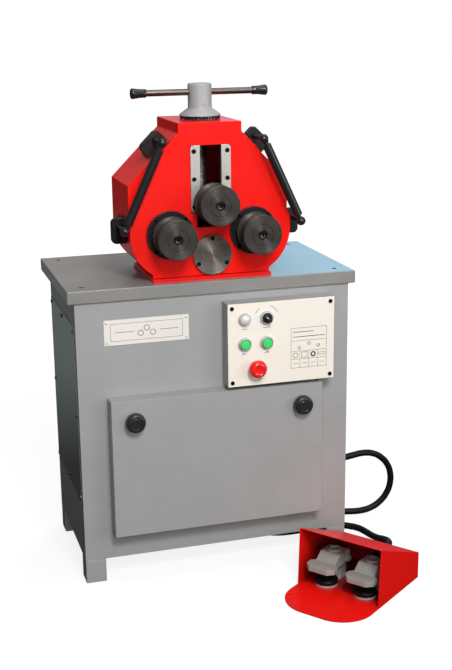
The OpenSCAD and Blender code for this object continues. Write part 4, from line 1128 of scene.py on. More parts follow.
@dataclass
class FootCable(SubAssembly):
    """The hose from the cabinet's gland, over the floor, to the foot switch."""

    gland: Skin = Skin("cable_glands", BLACK_PLASTIC, 0.6)
    radius: float = 8
    sides: int = 6
    rings: int = 6
    route: Sequence[Point] = (
        (340, 0, 156), (368, 0, 156), (397, 0, 160), (425, 0, 163), (452, 0, 159), (475, 0, 146),
        (493, 0, 125), (502, 0, 100), (502, 0, 72), (493, 0, 47), (475, 0, 26), (452, 0, 13),
        (425, 0, 8), (388, 5, 8), (350, 19, 8), (312, 38, 8), (275, 57, 8), (238, 71, 8), (200, 76, 8),
        (170, 69, 8), (145, 50, 8), (132, 22, 8), (132, -10, 8), (145, -38, 8), (170, -57, 8),
        (200, -64, 8), (239, -64, 8), (278, -64, 8), (316, -64, 8), (340, -68, 8), (360, -80, 8),
        (376, -98, 8), (384, -121, 8), (389, -148, 9), (393, -174, 13), (398, -200, 20),
        (397, -226, 26), (388, -248, 29), (372, -266.2, 30), (360.8, -274.8, 30),
    )

    def model(self) -> None:
        """Lay the hose along its route and dress its glands."""
        curve = bpy.data.curves.new("foot_hose", "CURVE")
        curve.dimensions = "3D"
        curve.bevel_depth = self.radius * MM
        curve.bevel_resolution = self.sides
        curve.resolution_u = self.rings
        curve.use_fill_caps = True
        spline = curve.splines.new("BEZIER")
        spline.bezier_points.add(len(self.route) - 1)
        for knot, place in zip(spline.bezier_points, self.route):
            knot.co = Vector(place) * MM
            knot.handle_left_type = knot.handle_right_type = "AUTO"
        hose = bpy.data.objects.new("foot_hose", curve)
        bpy.context.scene.collection.objects.link(hose)
        bpy.context.view_layer.update()
        self.frame.add(hose, HOSE_BLACK, "foot_cable", "foot_cable")
        glands = self.frame.rounded(*self.gland)


class Marks:
    """Flat marks printed on a face that looks along -Y."""

    thickness: float = 0.12
    ring_steps: int = 32
    arc_lines: int = 8
    barbs: Flat = (150.0, 210.0)

    def __init__(self, face: float) -> None:
        """Start with no marks on the face at this Y."""
        self.face = face
        self.pieces: list[Obj] = []

    def line(self, start: Flat, end: Flat, width: float) -> None:
        """Print a straight line.

        Args:
            start: Its start in X and Z.
            end: Its end in X and Z.
            width: Its width.
        """
        x, z = end[0] - start[0], end[1] - start[1]
        half = (math.hypot(x, z) + width) / 2
        bar = block("mark", (-half, -self.thickness, -width / 2), (half, 0.0, width / 2))
        middle = ((start[0] + end[0]) / 2, self.face, (start[1] + end[1]) / 2)
        self.pieces.append(set_at(bar, middle, -math.degrees(math.atan2(z, x))))

    def dash(self, middle: Flat, wide: float, width: float) -> None:
        """Print a level line about a middle."""
        x, z = middle
        self.line((x - wide / 2, z), (x + wide / 2, z), width)

    def outline(self, low: Flat, high: Flat, width: float) -> None:
        """Print a rectangle's outline.

        Args:
            low: Its lower left corner.
            high: Its upper right corner.
            width: Width of its lines.
        """
        corners = [low, (high[0], low[1]), high, (low[0], high[1])]
        for start, end in zip(corners, corners[1:] + corners[:1]):
            self.line(start, end, width)

    def ring(self, middle: Flat, outer: float, width: float) -> None:
        """Print a ring.

        Args:
            middle: Its middle in X and Z.
            outer: Its outer radius.
            width: Width of its line.
        """
        inner, deep = outer - width, -self.thickness
        profile = [(inner, 0), (outer, 0), (outer, deep), (inner, deep), (inner, 0)]
        self.pieces.append(lathe("mark", profile, (middle[0], self.face, middle[1]), self.ring_steps))

    def arc(self, middle: Flat, radius: float, start: float, end: float, width: float) -> None:
        """Print an arc in short lines.

        Args:
            middle: Its middle in X and Z.
            radius: Its radius.
            start: Angle of its start in degrees.
            end: Angle of its end in degrees.
            width: Width of its line.
        """
        step = (end - start) / self.arc_lines
        angles = [math.radians(start + step * i) for i in range(self.arc_lines + 1)]
        points = [(middle[0] + radius * math.cos(a), middle[1] + radius * math.sin(a)) for a in angles]
        for first, second in zip(points, points[1:]):
            self.line(first, second, width)

    def arrow(self, tip: Flat, angle: float, size: float, width: float) -> None:
        """Print an arrow's head.

        Args:
            tip: Its tip in X and Z.
            angle: The angle that it points along, in degrees.
            size: Length of its barbs.
            width: Width of its lines.
        """
        for barb in self.barbs:
            a = math.radians(angle + barb)
            self.line(tip, (tip[0] + size * math.cos(a), tip[1] + size * math.sin(a)), width)


@dataclass
class Cabinet(SubAssembly):
    """The sheet-metal cabinet with its legs, table, side covers and name plate."""

    skins: Sequence[Skin] = (
        Skin("cabinet_shell", CABINET_GREY, 0.9, least=12),
        Skin("legs", CABINET_GREY, 2.2, least=12),
        Skin("table_top", TABLE_GREY, 2.2, 3, least=12),
        # Both side covers take the grey darkened as painted shade.
        Skin("left_side_cover", SHADED_COVER_GREY, 0.6, least=12),
        Skin("right_side_cover", SHADED_COVER_GREY, 0.6, least=12),
        Skin("name_plate", NAME_WHITE, 0.3),
    )
    hole_inset: float = 37
    bush: Profile = (
        (5.4, 0), (4.7, -0.6), (5.1, -1.2), (4.6, -1.7), (5.1, -2.2), (4.6, -2.7), (5.1, -3.2), (4.6, -3.7),
        (5.1, -4.2), (4.6, -4.7), (4.6, -5.6), (0, -5.6), (0, -5.9), (5.4, -5.9), (5.4, 0),
    )
    bush_steps: int = 28
    screw_inset: float = 11
    pan: Profile = ((4.5, 0), (4.5, 1.08), (3.87, 1.92), (2.25, 2.4), (0, 2.4))
    pan_steps: int = 20
    pan_top: float = 2.3
    recess_rim: float = 0.9
    recess_depth: float = 1.2
    rivet_inset: float = 6
    rivet: Profile = ((2.2, 0), (1.98, -1.1), (1.1, -1.76), (0, -1.87))
    rivet_steps: int = 16
    sign_margin: Flat = (14, 9)
    sign_line: float = 0.7
    sign_rolls: Profile = ((-1, -0.35), (1, -0.35), (0, 0.45))
    roll_step: float = 0.24
    roll_r: float = 6.5
    roll_line: float = 1.2
    dash_inset: float = 24
    dash_gap: float = 2.2
    dash_line: float = 1.0

    def model(self) -> None:
        """Model the bushes, screws, rivets and sign."""
        self.bushes()
        self.screws()
        self.rivets()
        self.sign()

    def bushes(self) -> None:
        """Line the table's four holes with blackened threaded bushes."""
        box, inset = self.frame.box("table_top"), self.hole_inset
        pieces = [
            lathe("bush", self.bush, (x, y, box.high.z), self.bush_steps, Axis.Z)
            for x in (box.low.x + inset, box.high.x - inset)
            for y in (box.low.y + inset, box.high.y - inset)
        ]
        self.frame.add(joined(pieces, "table_bushes"), SCREW_BLACK, "table_top")

    def screws(self) -> None:
        """Put a pan head with a recessed top in place of each side cover screw."""
        pieces = []
        for side in Side:
            box, inset = self.frame.box(side.node("side_cover")), self.screw_inset
            ys, zs = ((box.low[i] + inset, box.mid[i], box.high[i] - inset) for i in (1, 2))
            spots = [(y, z) for y in ys for z in zs if (y, z) != (ys[1], zs[1])]
            pieces += [self.pan_head((side.face(box), y, z), side) for y, z in spots]
        self.frame.add(joined(pieces, "cover_screws"), ZINC, "side_cover_screws", "side_cover_screws")

    def pan_head(self, place: Point, side: Side) -> Obj:
        """Turn one pan head with a recess in its top, out of a side face.

        Args:
            place: Where it sits on the face.
            side: The side that the face looks to.

        Returns:
            The head.
        """
        head = lathe("pan_head", self.pan, ORIGIN, self.pan_steps, Axis.Z)
        with editing(head):
            if pick(head, Pick.FACE, lambda face: face.calc_center_median().z > self.pan_top * MM):
                bpy.ops.mesh.inset(thickness=self.recess_rim * MM)
                bpy.ops.transform.translate(value=(0, 0, -self.recess_depth * MM))
        return set_at(head, place, 90 * side.value)

    def rivets(self) -> None:
        """Set four domed rivets in the name plate."""
        box, inset = self.frame.box("name_plate"), self.rivet_inset
        pieces = [
            lathe("rivet", self.rivet, (x, box.low.y, z), self.rivet_steps)
            for x in (box.low.x + inset, box.high.x - inset)
            for z in (box.low.z + inset, box.high.z - inset)
        ]
        self.frame.add(joined(pieces, "name_plate_rivets"), BRIGHT_STEEL, "name_plate")

    def sign(self) -> None:
        """Print a plain sign of three rolls, in a thin frame, on the bare name plate."""
        box = self.frame.box("name_plate")
        low, high, mid = box.low, box.high, box.mid
        marks = Marks(low.y)
        x, z = self.sign_margin
        marks.outline((low.x + x, low.z + z), (high.x - x, high.z - z), self.sign_line)
        step = box.size.z * self.roll_step
        for dx, dz in self.sign_rolls:
            marks.ring((mid.x + dx * step, mid.z + dz * step), self.roll_r, self.roll_line)
        gap = self.dash_gap * step
        marks.line((low.x + self.dash_inset, mid.z), (mid.x - gap, mid.z), self.dash_line)
        marks.line((mid.x + gap, mid.z), (high.x - self.dash_inset, mid.z), self.dash_line)
        self.frame.add(joined(marks.pieces, "name_plate_sign"), MARK_GREY, "name_plate")


@dataclass
class Chart:
    """A printed chart: two headings, three rolls, four section shapes and a row of blanks.

    Its inner sizes are shares of the chart, of a cell or of the thinnest line.
    """

    marks: Marks
    low: Flat
    high: Flat
    line: float
    rows: Point = (0.22, 0.42, 0.68)
    cells: int = 4
    shape: float = 0.3
    flat_shape: Flat = (1.2, 0.4)
    thick_ring: float = 0.5
    blank: float = 0.5
    rolls: Profile = ((-0.27, -0.05), (0.27, -0.02), (0.0, 0.05))
    roll_r: float = 0.045
    headings: Profile = ((0.90, 0.62), (0.78, 0.94))
    heading_start: float = 0.06
    shape_line: float = 1.2
    tube_line: float = 1.6
    roll_line: float = 1.8
    heading_line: float = 2.0

    def build(self) -> None:
        """Print the chart's lines and what stands between them."""
        marks, (left, bottom), (right, top), w = self.marks, self.low, self.high, self.line
        wide, tall = right - left, top - bottom
        rows = [bottom + share * tall for share in self.rows]
        cell = wide / self.cells
        spots = [left + cell * (i + 0.5) for i in range(self.cells)]
        marks.outline(self.low, self.high, w)
        for z in rows:
            marks.line((left, z), (right, z), w)
        for i in range(1, self.cells):
            marks.line((left + cell * i, bottom), (left + cell * i, rows[1]), w)
        self.sections(spots, (rows[0] + rows[1]) / 2, self.shape * cell)
        for x in spots:
            marks.dash((x, (bottom + rows[0]) / 2), self.blank * cell, self.shape_line * w)
        mid, z = left + wide / 2, (rows[1] + rows[2]) / 2
        for dx, dz in self.rolls:
            marks.ring((mid + dx * wide, z + dz * tall), self.roll_r * wide, self.roll_line * w)
        for share, end in self.headings:
            z = bottom + share * tall
            marks.line((left + self.heading_start * wide, z), (left + end * wide, z), self.heading_line * w)

    def sections(self, spots: Sequence[float], z: float, size: float) -> None:
        """Print a tube, a square tube, a thick tube and a flat bar.

        Args:
            spots: Middles of the four cells in X.
            z: Height of their middles.
            size: Half the width of a shape.
        """
        tube, square, thick, bar = spots
        thin = self.shape_line * self.line
        x, half = (share * size for share in self.flat_shape)
        self.marks.ring((tube, z), size, self.tube_line * self.line)
        self.marks.outline((square - size, z - size), (square + size, z + size), thin)
        self.marks.ring((thick, z), size, self.thick_ring * size)
        self.marks.outline((bar - x, z - half), (bar + x, z + half), thin)


@dataclass
class ControlBox(SubAssembly):
    """The control box with its cream plate, lamp, selector, buttons and stop."""

    skins: Sequence[Skin] = (
        Skin("control_plate", PLATE_CREAM, 0.5, least=12),
        Skin("control_plate_screws", SCREW_BLACK, 0.6),
        Skin("contact_blocks", BLACK_PLASTIC, 0.8),
    )
    case: Skin = Skin("control_box", CABINET_GREY, 1.4, 3, least=12)
    case_rim: float = 1.0
    buttons: Sequence[str] = ("left_button", "right_button")
    bezel_h: float = 8
    bezel: Profile = (
        (11.8, -0.2), (15, -0.2), (15, -3.6), (14.2, -4.96), (12.8, -7.6), (12.2, -8), (11.8, -7.5),
        (11.8, -0.2),
    )
    # A black ring between bezel and cap, standing as painted shade for the gap there.
    seal: Profile = ((10.8, -0.3), (12, -0.3), (12, -4.4), (10.8, -4), (10.8, -0.3))
    cap: Profile = (
        (0, 0), (7.875, 0), (7.875, -4), (10.5, -4.6), (10.5, -8), (9.8, -8.8), (6.3, -9.2), (0, -9.3),
    )
    lamp_ring: Profile = (
        (10.5, -0.2), (14, -0.2), (14, -4), (12, -8), (11, -8), (10.5, -7.4), (10.5, -0.2),
    )
    lens_side: Profile = ((0, -1), (10.4, -1), (10.4, -8.6), (9.45, -9.6))
    # Radius, and share of the way from the bezel's height to the tip.
    lens_dome: Profile = ((6.93, 0.55), (3.78, 0.9), (0, 1.0))
    selector_base: Profile = ((0, 0), (10.5, 0), (10.5, -9), (9.7, -10), (0, -10))
    selector_turn: float = -42.0
    grip: Sequence[Point] = ((-3.5, -18, -9.4), (3.5, -9, 9.4))
    grip_round: float = 1.2
    grip_segments: int = 3
    pointer: Sequence[Point] = ((-0.7, -18.15, 1), (0.7, -17.8, 8))
    stop_neck: float = 8
    # Share of the radius, and distance behind the front.
    stop_dome: Profile = (
        (0.82, 14), (0.97, 12.5), (1, 10), (0.98, 7), (0.90, 4.4), (0.80, 2.2), (0.68, 0.7), (0.56, 0.2),
        (0.50, 0.9), (0.40, 1.5), (0, 1.7),
    )
    ring_steps: int = 48
    cap_steps: int = 40
    stop_steps: int = 56
    line: float = 1.0
    sign_drop: float = 22
    selector_arcs: Profile = ((22, 72), (128, 156))
    selector_arc_r: float = 27
    stop_arc: Flat = (245, 295)
    stop_arc_r: float = 30
    button_dash: float = 10
    barb: float = 3
    lamp_dash: float = 11
    selector_dash: float = 15
    chart_low: Flat = (101, 30)
    chart_high: Flat = (18, 121)
    chart_line: float = 0.7

    @property
    def face(self) -> float:
        """Where the plate's front face lies in Y."""
        return self.frame.box("control_plate").low.y

    def spot(self, node: str, drop: float = 0.0) -> Flat:
        """Place of an operator's axis in X and Z, or of a point below it."""
        mid = self.frame.box(node).mid
        return mid.x, mid.z - drop

    def at(self, node: str) -> Point:
        """Place of an operator's axis on the plate's face."""
        x, z = self.spot(node)
        return x, self.face, z

    def model(self) -> None:
        """Dress the box, and model its operators and signs."""
        box = self.frame.box("control_box")
        x, z = box.size.x / 2 - self.case_rim, box.size.z / 2 - self.case_rim
        self.frame.rounded(
            *self.case, where=lambda p: abs(p.x - box.mid.x) > x or abs(p.z - box.mid.z) > z
        )
        self.bezels()
        self.lamp()
        self.selector()
        self.stop()
        self.signs()

    def bezels(self) -> None:
        """Turn the bezels, the black rings that stand as painted shade in the gap round each button, and
        the buttons' caps.
        """
        nodes = ("selector_knob", *self.buttons, "stop_button")
        rings = [lathe("bezel", self.bezel, self.at(node), self.ring_steps) for node in nodes]
        self.frame.add(joined(rings, "bezel_rings"), BEZEL_SILVER, "operator_bezels", "operator_bezels")
        # Black rings as painted shade in the gap between each bezel and its cap.
        shade_rings = [lathe("seal", self.seal, self.at(node), self.cap_steps) for node in self.buttons]
        self.frame.add(joined(shade_rings, "button_seals"), BLACK_PLASTIC, "operator_bezels")
        for node in self.buttons:
            cap = lathe(f"{node}_cap", self.cap, self.at(node), self.cap_steps)
            self.frame.add(cap, BUTTON_GREEN_PAINTED_GLOW, node, node)

    def lamp(self) -> None:
        """Model the lamp: a silver ring round a domed lens with a stepped rim."""
        spot = self.at("power_lamp")
        ring = lathe("lamp_ring", self.lamp_ring, spot, self.ring_steps)
        self.frame.add(ring, BEZEL_SILVER, "power_lamp")
        tip = self.frame.box("power_lamp").low.y - self.face
        dome = [(r, share * tip - (1 - share) * self.bezel_h) for r, share in self.lens_dome]
        lens = lathe("lamp_lens", [*self.lens_side, *dome], spot, self.cap_steps)
        self.frame.add(lens, LAMP_WHITE, "power_lamp", "power_lamp")

    def selector(self) -> None:
        """Model the selector: a black knob with a grip across it and a white pointer."""
        spot = self.at("selector_knob")
        base = lathe("selector", self.selector_base, ORIGIN, self.cap_steps)
        grip = block("grip", *self.grip, self.grip_round, self.grip_segments)
        knob = set_at(joined([base, grip], "selector_grip"), spot, self.selector_turn)
        self.frame.add(knob, BLACK_PLASTIC, "selector_knob", "selector_knob")
        pointer = set_at(block("selector_pointer", *self.pointer), spot, self.selector_turn)
        self.frame.add(pointer, MARK_WHITE, "selector_knob")

    def stop(self) -> None:
        """Model the stop's mushroom head with a grip ring and a dished top."""
        box = self.frame.box("stop_button")
        front = box.low.y - self.face
        dome = [(r, front + behind) for r, behind in widened(self.stop_dome, box.size.x / 2)]
        neck = [(0, 0), (self.stop_neck, 0), (self.stop_neck, dome[0][1])]
        head = lathe("stop_head", [*neck, *dome], self.at("stop_button"), self.stop_steps)
        self.frame.add(head, STOP_RED, "stop_button", "stop_button")

    def signs(self) -> None:
        """Print plain signs beside the operators, and a chart of section shapes."""
        marks, w = Marks(self.face), self.line
        for start, end in self.selector_arcs:
            marks.arc(self.spot("selector_knob"), self.selector_arc_r, start, end, w)
        marks.arc(self.spot("stop_button"), self.stop_arc_r, *self.stop_arc, w)
        for node, side in zip(self.buttons, Side):
            x, z = self.spot(node, self.sign_drop)
            marks.dash((x, z), self.button_dash, w)
            marks.arrow((x + side.value * self.button_dash / 2, z), 90 - 90 * side.value, self.barb, w)
        for node, wide in (("power_lamp", self.lamp_dash), ("selector_knob", self.selector_dash)):
            marks.dash(self.spot(node, self.sign_drop), wide, w)
        box = self.frame.box("control_plate")
        low, high = ((box.high.x - x, box.low.z + z) for x, z in (self.chart_low, self.chart_high))
        Chart(marks, low, high, self.chart_line).build()
        self.frame.add(joined(marks.pieces, "control_signs"), MARK_GREY, "control_plate")


@dataclass
class FrontCover(SubAssembly):
    """The pull-off cover with its two knobs."""

    skins: Sequence[Skin] = (Skin("front_cover", CABINET_GREY, 1.8, 4, least=14),)
    knob_h: float = 24
    stud_r: float = 4
    stud_tip: Flat = (0.6, 0.8)
    # Share of the radius, and height.
    knob: Profile = (
        (0.62, 0), (0.72, -3), (0.95, -6), (1, -8.5), (1, -15.84), (0.985, -18.72), (0.93, -21.36),
        (0.84, -23.16), (0.74, -24), (0.62, -23.76), (0.57, -22.92), (0.52, -23.64), (0.30, -23.28),
        (0, -23.16),
    )
    knob_steps: int = 56

    def model(self) -> None:
        """Turn two dished knobs with stepped faces and their studs."""
        for side in Side:
            node = side.node("knob")
            box = self.frame.box(node)
            back = box.low.y + self.knob_h
            end, (narrow, short) = box.high.y - back, self.stud_tip
            stud = [(0, end), (self.stud_r - narrow, end), (self.stud_r, end - short), (self.stud_r, 0)]
            profile = stud + widened(self.knob, box.size.x / 2)
            grip = lathe(f"{node}_grip", profile, (box.mid.x, back, box.mid.z), self.knob_steps)
            self.frame.add(grip, BLACK_PLASTIC, node, node)


@dataclass
class Head(SubAssembly):
    """The red head: gear case, front plate, rails, caps and covers."""

    skins: Sequence[Skin] = (
        Skin("front_plate", HEAD_RED, 1.0, least=6),
        Skin("guide_rails", RAIL_STEEL, 0.5),
        Skin("head_screws", SCREW_BLACK, 0.3),
        Skin("shaft_bearings", BRIGHT_STEEL, 0.3),
    )
    case: Skin = Skin("gear_case", HEAD_RED, 1.6, 3, least=6)
    cover: Skin = Skin("drive_cover", DRIVE_STEEL, 0.8, least=2.2)
    caps: Skin = Skin("bearing_caps", BLACK_GLOSS, 0.5)
    case_front: float = 17
    flange_r: float = 51.6
    nose: Flat = (39, 41)

    def model(self) -> None:
        """Round the case behind its plate, and the drive cover and caps about their axes."""
        rim = self.frame.box("front_plate").low.y + self.case_front
        self.frame.rounded(*self.case, where=lambda p: p.y > rim)
        ground = self.cover.finish.about(self.frame.box("drive_cover").mid)
        self.frame.rounded(*self.cover._replace(finish=ground))
        axes = [self.frame.box(side.node("roll")).mid for side in Side]
        self.frame.rounded(*self.caps, where=lambda p: self.on_cap_rim(p, axes))

    def on_cap_rim(self, place: Vector, axes: Sequence[Vector]) -> bool:
        """Whether a place is on the outer rims of a bearing cap, clear of its screw holes."""
        radius = min(math.hypot(place.x - axis.x, place.z - axis.z) for axis in axes)
        return radius > self.flange_r or self.nose[0] < radius < self.nose[1]


@dataclass
class Rolls(SubAssembly):
    """The three grooved rolls with their shafts, gears and end caps."""

    skins: Sequence[Skin] = (
        Skin("left_roll_shaft", BRIGHT_STEEL, 0.6),
        Skin("right_roll_shaft", BRIGHT_STEEL, 0.6),
        Skin("upper_shaft", BRIGHT_STEEL, 0.6),
        Skin("slide_block", BLACK_STEEL, 1.0, least=3),
        Skin("drive_shaft", BRIGHT_STEEL, 0.6),
    )
    painted: Sequence[tuple[str, Finish]] = (
        ("left_roll_gear", BRIGHT_STEEL), ("right_roll_gear", BRIGHT_STEEL), ("drive_gear", BRIGHT_STEEL),
    )
    names: Sequence[str] = ("left", "right", "upper")
    bore_r: float = 15
    seat_r: float = 23.2
    seat_depth: float = 8
    lip: float = 0.5
    chamfer: float = 1.5
    groove_r: float = 13.5
    groove_depth: float = 11.5
    groove_mid: float = 33
    groove_steps: int = 14
    ring: Profile = ((34.05, 0), (34.23, 0.25), (34.77, 0.25), (34.95, 0))
    cap: Profile = ((10, 8), (10, 0.96), (10.8, 0), (21.9, 0), (22.7, 0.8), (22.7, 8), (10, 8))
    bolt: Profile = (
        (0, 5), (4.6, 5), (4.6, 0.8), (5.1, 0.5), (7.7, 0.5), (8.6, 1.4), (8.6, 6), (0, 6),
    )
    key_r: float = 4.6
    roll_steps: int = 112
    cap_steps: int = 80
    bolt_steps: int = 48

    def model(self) -> None:
        """Turn the three rolls."""
        for name in self.names:
            self.roll(f"{name}_roll")

    def profile(self, radius: float, wide: float) -> list[Flat]:
        """Draw a roll's section.

        Args:
            radius: Radius of the rims.
            wide: Width of the roll.

        Returns:
            Points as radius and distance behind the front face.
        """
        bore, seat, deep, c = self.bore_r, self.seat_r, self.seat_depth, self.chamfer
        points = [(bore, deep), (seat, deep), (seat, self.lip), (seat + self.lip, 0), *self.ring]
        points += [(radius - c, 0), (radius, c)]
        centre = radius + self.groove_r - self.groove_depth
        reach = math.acos((centre - radius) / self.groove_r)
        for i in range(self.groove_steps + 1):
            a = reach * (2 * i / self.groove_steps - 1)
            x, y = self.groove_r * math.cos(a), self.groove_r * math.sin(a)
            points.append((centre - x, self.groove_mid + y))
        return points + [(radius, wide - c), (radius - c, wide), (bore, wide), (bore, deep)]

    def roll(self, node: str) -> None:
        """Turn one roll with its cap and bolt, with rings about its own axis.

        Args:
            node: The roll's node.
        """
        box, cap = self.frame.box(node), f"{node}_cap"
        front = (box.mid.x, box.low.y, box.mid.z)
        black = ROLL_BLACK.about(box.mid, f"{node} black oxide")
        section = self.profile(box.size.x / 2, box.size.y)
        self.frame.add(lathe(f"{node}_turned", section, front, self.roll_steps), black, node, node)
        self.frame.add(lathe(f"{cap}_turned", self.cap, front, self.cap_steps), black, cap, cap)
        bolt = lathe(f"{node}_bolt", self.bolt, front, self.bolt_steps, key=self.key_r)
        self.frame.add(bolt, BOLT_STEEL, cap)


@dataclass
class ScrewFeed(SubAssembly):
    """The lead screw with its hub, scale ring and tommy bar."""

    skins: Sequence[Skin] = (
        Skin("screw_bush", BRONZE, 0.4),
        Skin("scale_ring", SCALE_BLACK, 0.6),
        Skin("tommy_bar", BAR_STEEL, 0.5),
    )
    hub: Skin = Skin("screw_hub", HUB_SILVER, 1.0, 3)
    lead: float = 6
    crest_r: float = 12
    root_r: float = 9.4
    tip: float = 1
    run_out: float = 6
    run_out_rise: float = 1.5
    collar_r: float = 20
    collar_h: float = 8
    collar_drop: float = 8.3
    shank_steps: int = 48
    # Radius, and share of the lead.
    ridge: Profile = ((9, -0.42), (12, -0.16), (12, 0.16), (9, 0.42))
    ridge_start: float = 0.6
    ridge_steps: int = 32
    end_clear: float = 2
    ticks: int = 36
    long_every: int = 5
    long_tick: float = 0.62
    short_tick: float = 0.38
    tick_foot: float = 0.6
    tick_sunk: float = 0.4
    tick_proud: float = 0.08
    tick_half: float = 0.2
    bar_bore: float = 7
    bar_reach: float = 33
    # Share of the radius, and height.
    bar_end: Profile = (
        (0.80, 0.8), (0.80, 8.25), (0.86, 18.15), (0.97, 27.06), (1, 29.7), (0.94, 31.68), (0.80, 33),
        (0, 33),
    )
    bar_lip: float = 0.5
    bar_steps: int = 48
    grub: Profile = ((0, 0.6), (1.43, 0.6), (1.43, -0.2), (2.3, -0.2), (2.6, 0.1), (2.6, 2), (0, 2))
    grub_place: Point = (3, -26, 24)
    grub_steps: int = 24

    def model(self) -> None:
        """Dress the hub, cut the thread, and model the scale's ticks, the bar's ends and the grub screw."""
        box = self.frame.box("screw_hub")
        self.frame.rounded(*self.hub._replace(finish=self.hub.finish.about(box.mid)))
        self.thread()
        self.scale_marks()
        self.bar_ends()
        x, y, z = self.grub_place
        spot = (box.mid.x + x, box.mid.y + y, box.low.z + z)
        grub = lathe("hub_grub_screw", self.grub, spot, self.grub_steps)
        self.frame.add(grub, BRIGHT_STEEL, "screw_hub")

    def thread(self) -> None:
        """Wind a left-hand thread on the screw, with its plain collar and neck above."""
        box = self.frame.box("lead_screw")
        low, high, axis = box.low.z, box.high.z, (box.mid.x, box.mid.y, 0)
        shelf = self.frame.box("screw_bush").low.z - self.collar_drop
        ledge, top = shelf + self.collar_h, shelf - self.run_out
        root, crest, collar = self.root_r, self.crest_r, self.collar_r
        core = [
            (0, low), (root - self.tip, low), (root, low + self.tip), (root, top),
            (crest, top + self.run_out_rise), (crest, shelf), (collar, shelf), (collar, ledge),
            (crest, ledge), (crest, high), (0, high),
        ]
        shank = lathe("shank", core, axis, self.shank_steps, Axis.Z)
        ridge = started("ridge", bpy.ops.mesh.primitive_plane_add, 1.0)
        with editing(ridge):
            mesh = bmesh.from_edit_mesh(ridge.data)
            mesh.faces.ensure_lookup_table()
            for loop, (radius, share) in zip(mesh.faces[0].loops, self.ridge):
                loop.vert.co = Vector((radius, 0, low + self.lead * (self.ridge_start + share))) * MM
            bmesh.update_edit_mesh(ridge.data)
        winding = ridge.modifiers.new("winding", "SCREW")
        winding.axis = "Z"
        winding.angle = -2 * math.pi
        winding.screw_offset = self.lead * MM
        winding.iterations = int((top - low - self.end_clear) / self.lead)
        winding.steps = winding.render_steps = self.ridge_steps
        winding.use_merge_vertices = False
        focus(ridge)
        bpy.ops.object.modifier_apply(modifier=winding.name)
        set_at(ridge, axis)
        with editing(ridge):
            bpy.ops.mesh.select_all(action="SELECT")
            bpy.ops.mesh.normals_make_consistent(inside=False)
        screw = smooth(joined([shank, ridge], "lead_screw_thread"))
        self.frame.add(screw, SCREW_STEEL, "lead_screw", "lead_screw")

    def scale_marks(self) -> None:
        """Inlay white ticks round the scale ring, every fifth one longer."""
        box = self.frame.box("scale_ring")
        r, half, foot = box.size.x / 2, self.tick_half, (box.mid.x, box.mid.y, box.low.z)
        low = (r - self.tick_sunk, -half, self.tick_foot)
        pieces = []
        for i in range(self.ticks):
            tall = box.size.z * (self.short_tick if i % self.long_every else self.long_tick)
            tick = block("tick", low, (r + self.tick_proud, half, tall))
            pieces.append(set_at(tick, foot, 360 * i / self.ticks, Axis.Z))
        self.frame.add(joined(pieces, "scale_ticks"), MARK_WHITE, "scale_ring")

    def bar_ends(self) -> None:
        """Turn the flared plastic ends of the tommy bar."""
        box = self.frame.box("bar_ends")
        flare = widened(self.bar_end, box.size.z / 2)
        profile = [(self.bar_bore, 0), (flare[0][0] - self.bar_lip, 0), *flare]
        ends = []
        for side in Side:
            end = lathe("end", profile, ORIGIN, self.bar_steps, Axis.Z)
            start = side.face(box) - side.value * self.bar_reach
            ends.append(set_at(end, (start, box.mid.y, box.mid.z), 90 * side.value))
        self.frame.add(joined(ends, "bar_grips"), GRIP_BLACK, "bar_ends", "bar_ends")


@dataclass
class SideBars(SubAssembly):
    """The two side bars on their pins and brackets."""

    skins: Sequence[Skin] = (
        Skin("side_bars", BLACK_GLOSS, 0.6, least=1.5),
        Skin("bar_pins", BLACK_GLOSS, 0.8),
        Skin("bar_brackets", BLACK_STEEL, 1.2, 3),
    )


@dataclass
class PowerUnit(SubAssembly):
    """The gearbox behind the head and what the cabinet holds."""

    skins: Sequence[Skin] = (
        Skin("gearbox", MACHINE_DARK, 1.6, 3, least=8),
        Skin("electrical_plate", BRIGHT_STEEL, 0.5, least=12),
        Skin("contactors", BLACK_PLASTIC, 1.0),
    )
    painted: Sequence[tuple[str, Finish]] = (("motor", MACHINE_DARK),)


@dataclass
class FootSwitch(SubAssembly):
    """The hooded foot switch with its two pedals."""

    skins: Sequence[Skin] = (
        Skin("pedal_hood", HOOD_RED, 0.8),
        Skin("pedal_bases", CAST_GREY, 0.8),
        Skin("left_pedal", CAST_GREY, 0.9),
        Skin("right_pedal", CAST_GREY, 0.9),
    )
    place: Point = (199, -399, 0)
    turn: float = -52.5
    pitch: float = 97
    base_y: float = 36
    boot: Profile = (
        (16.1, 9.0), (25.5, 9.0), (25.5, 16.6), (24.4, 18.0), (20.4, 18.4), (18.2, 20.2), (20.6, 22.4),
        (18.0, 24.6), (20.2, 26.8), (17.8, 29.0), (18.8, 30.8), (17.4, 32.2), (16.1, 32.4), (16.1, 9.0),
    )
    boot_steps: int = 48

    def model(self) -> None:
        """Turn the folded rubber boots round the bumpers."""
        pieces = []
        for side in Side:
            spot = (side.value * self.pitch / 2, self.base_y, 0)
            boot = lathe("boot", self.boot, spot, self.boot_steps, Axis.Z)
            pieces.append(set_at(boot, self.place, self.turn, Axis.Z))
        self.frame.add(joined(pieces, "pedal_boots"), HOSE_BLACK, "pedal_bases")


# The studio


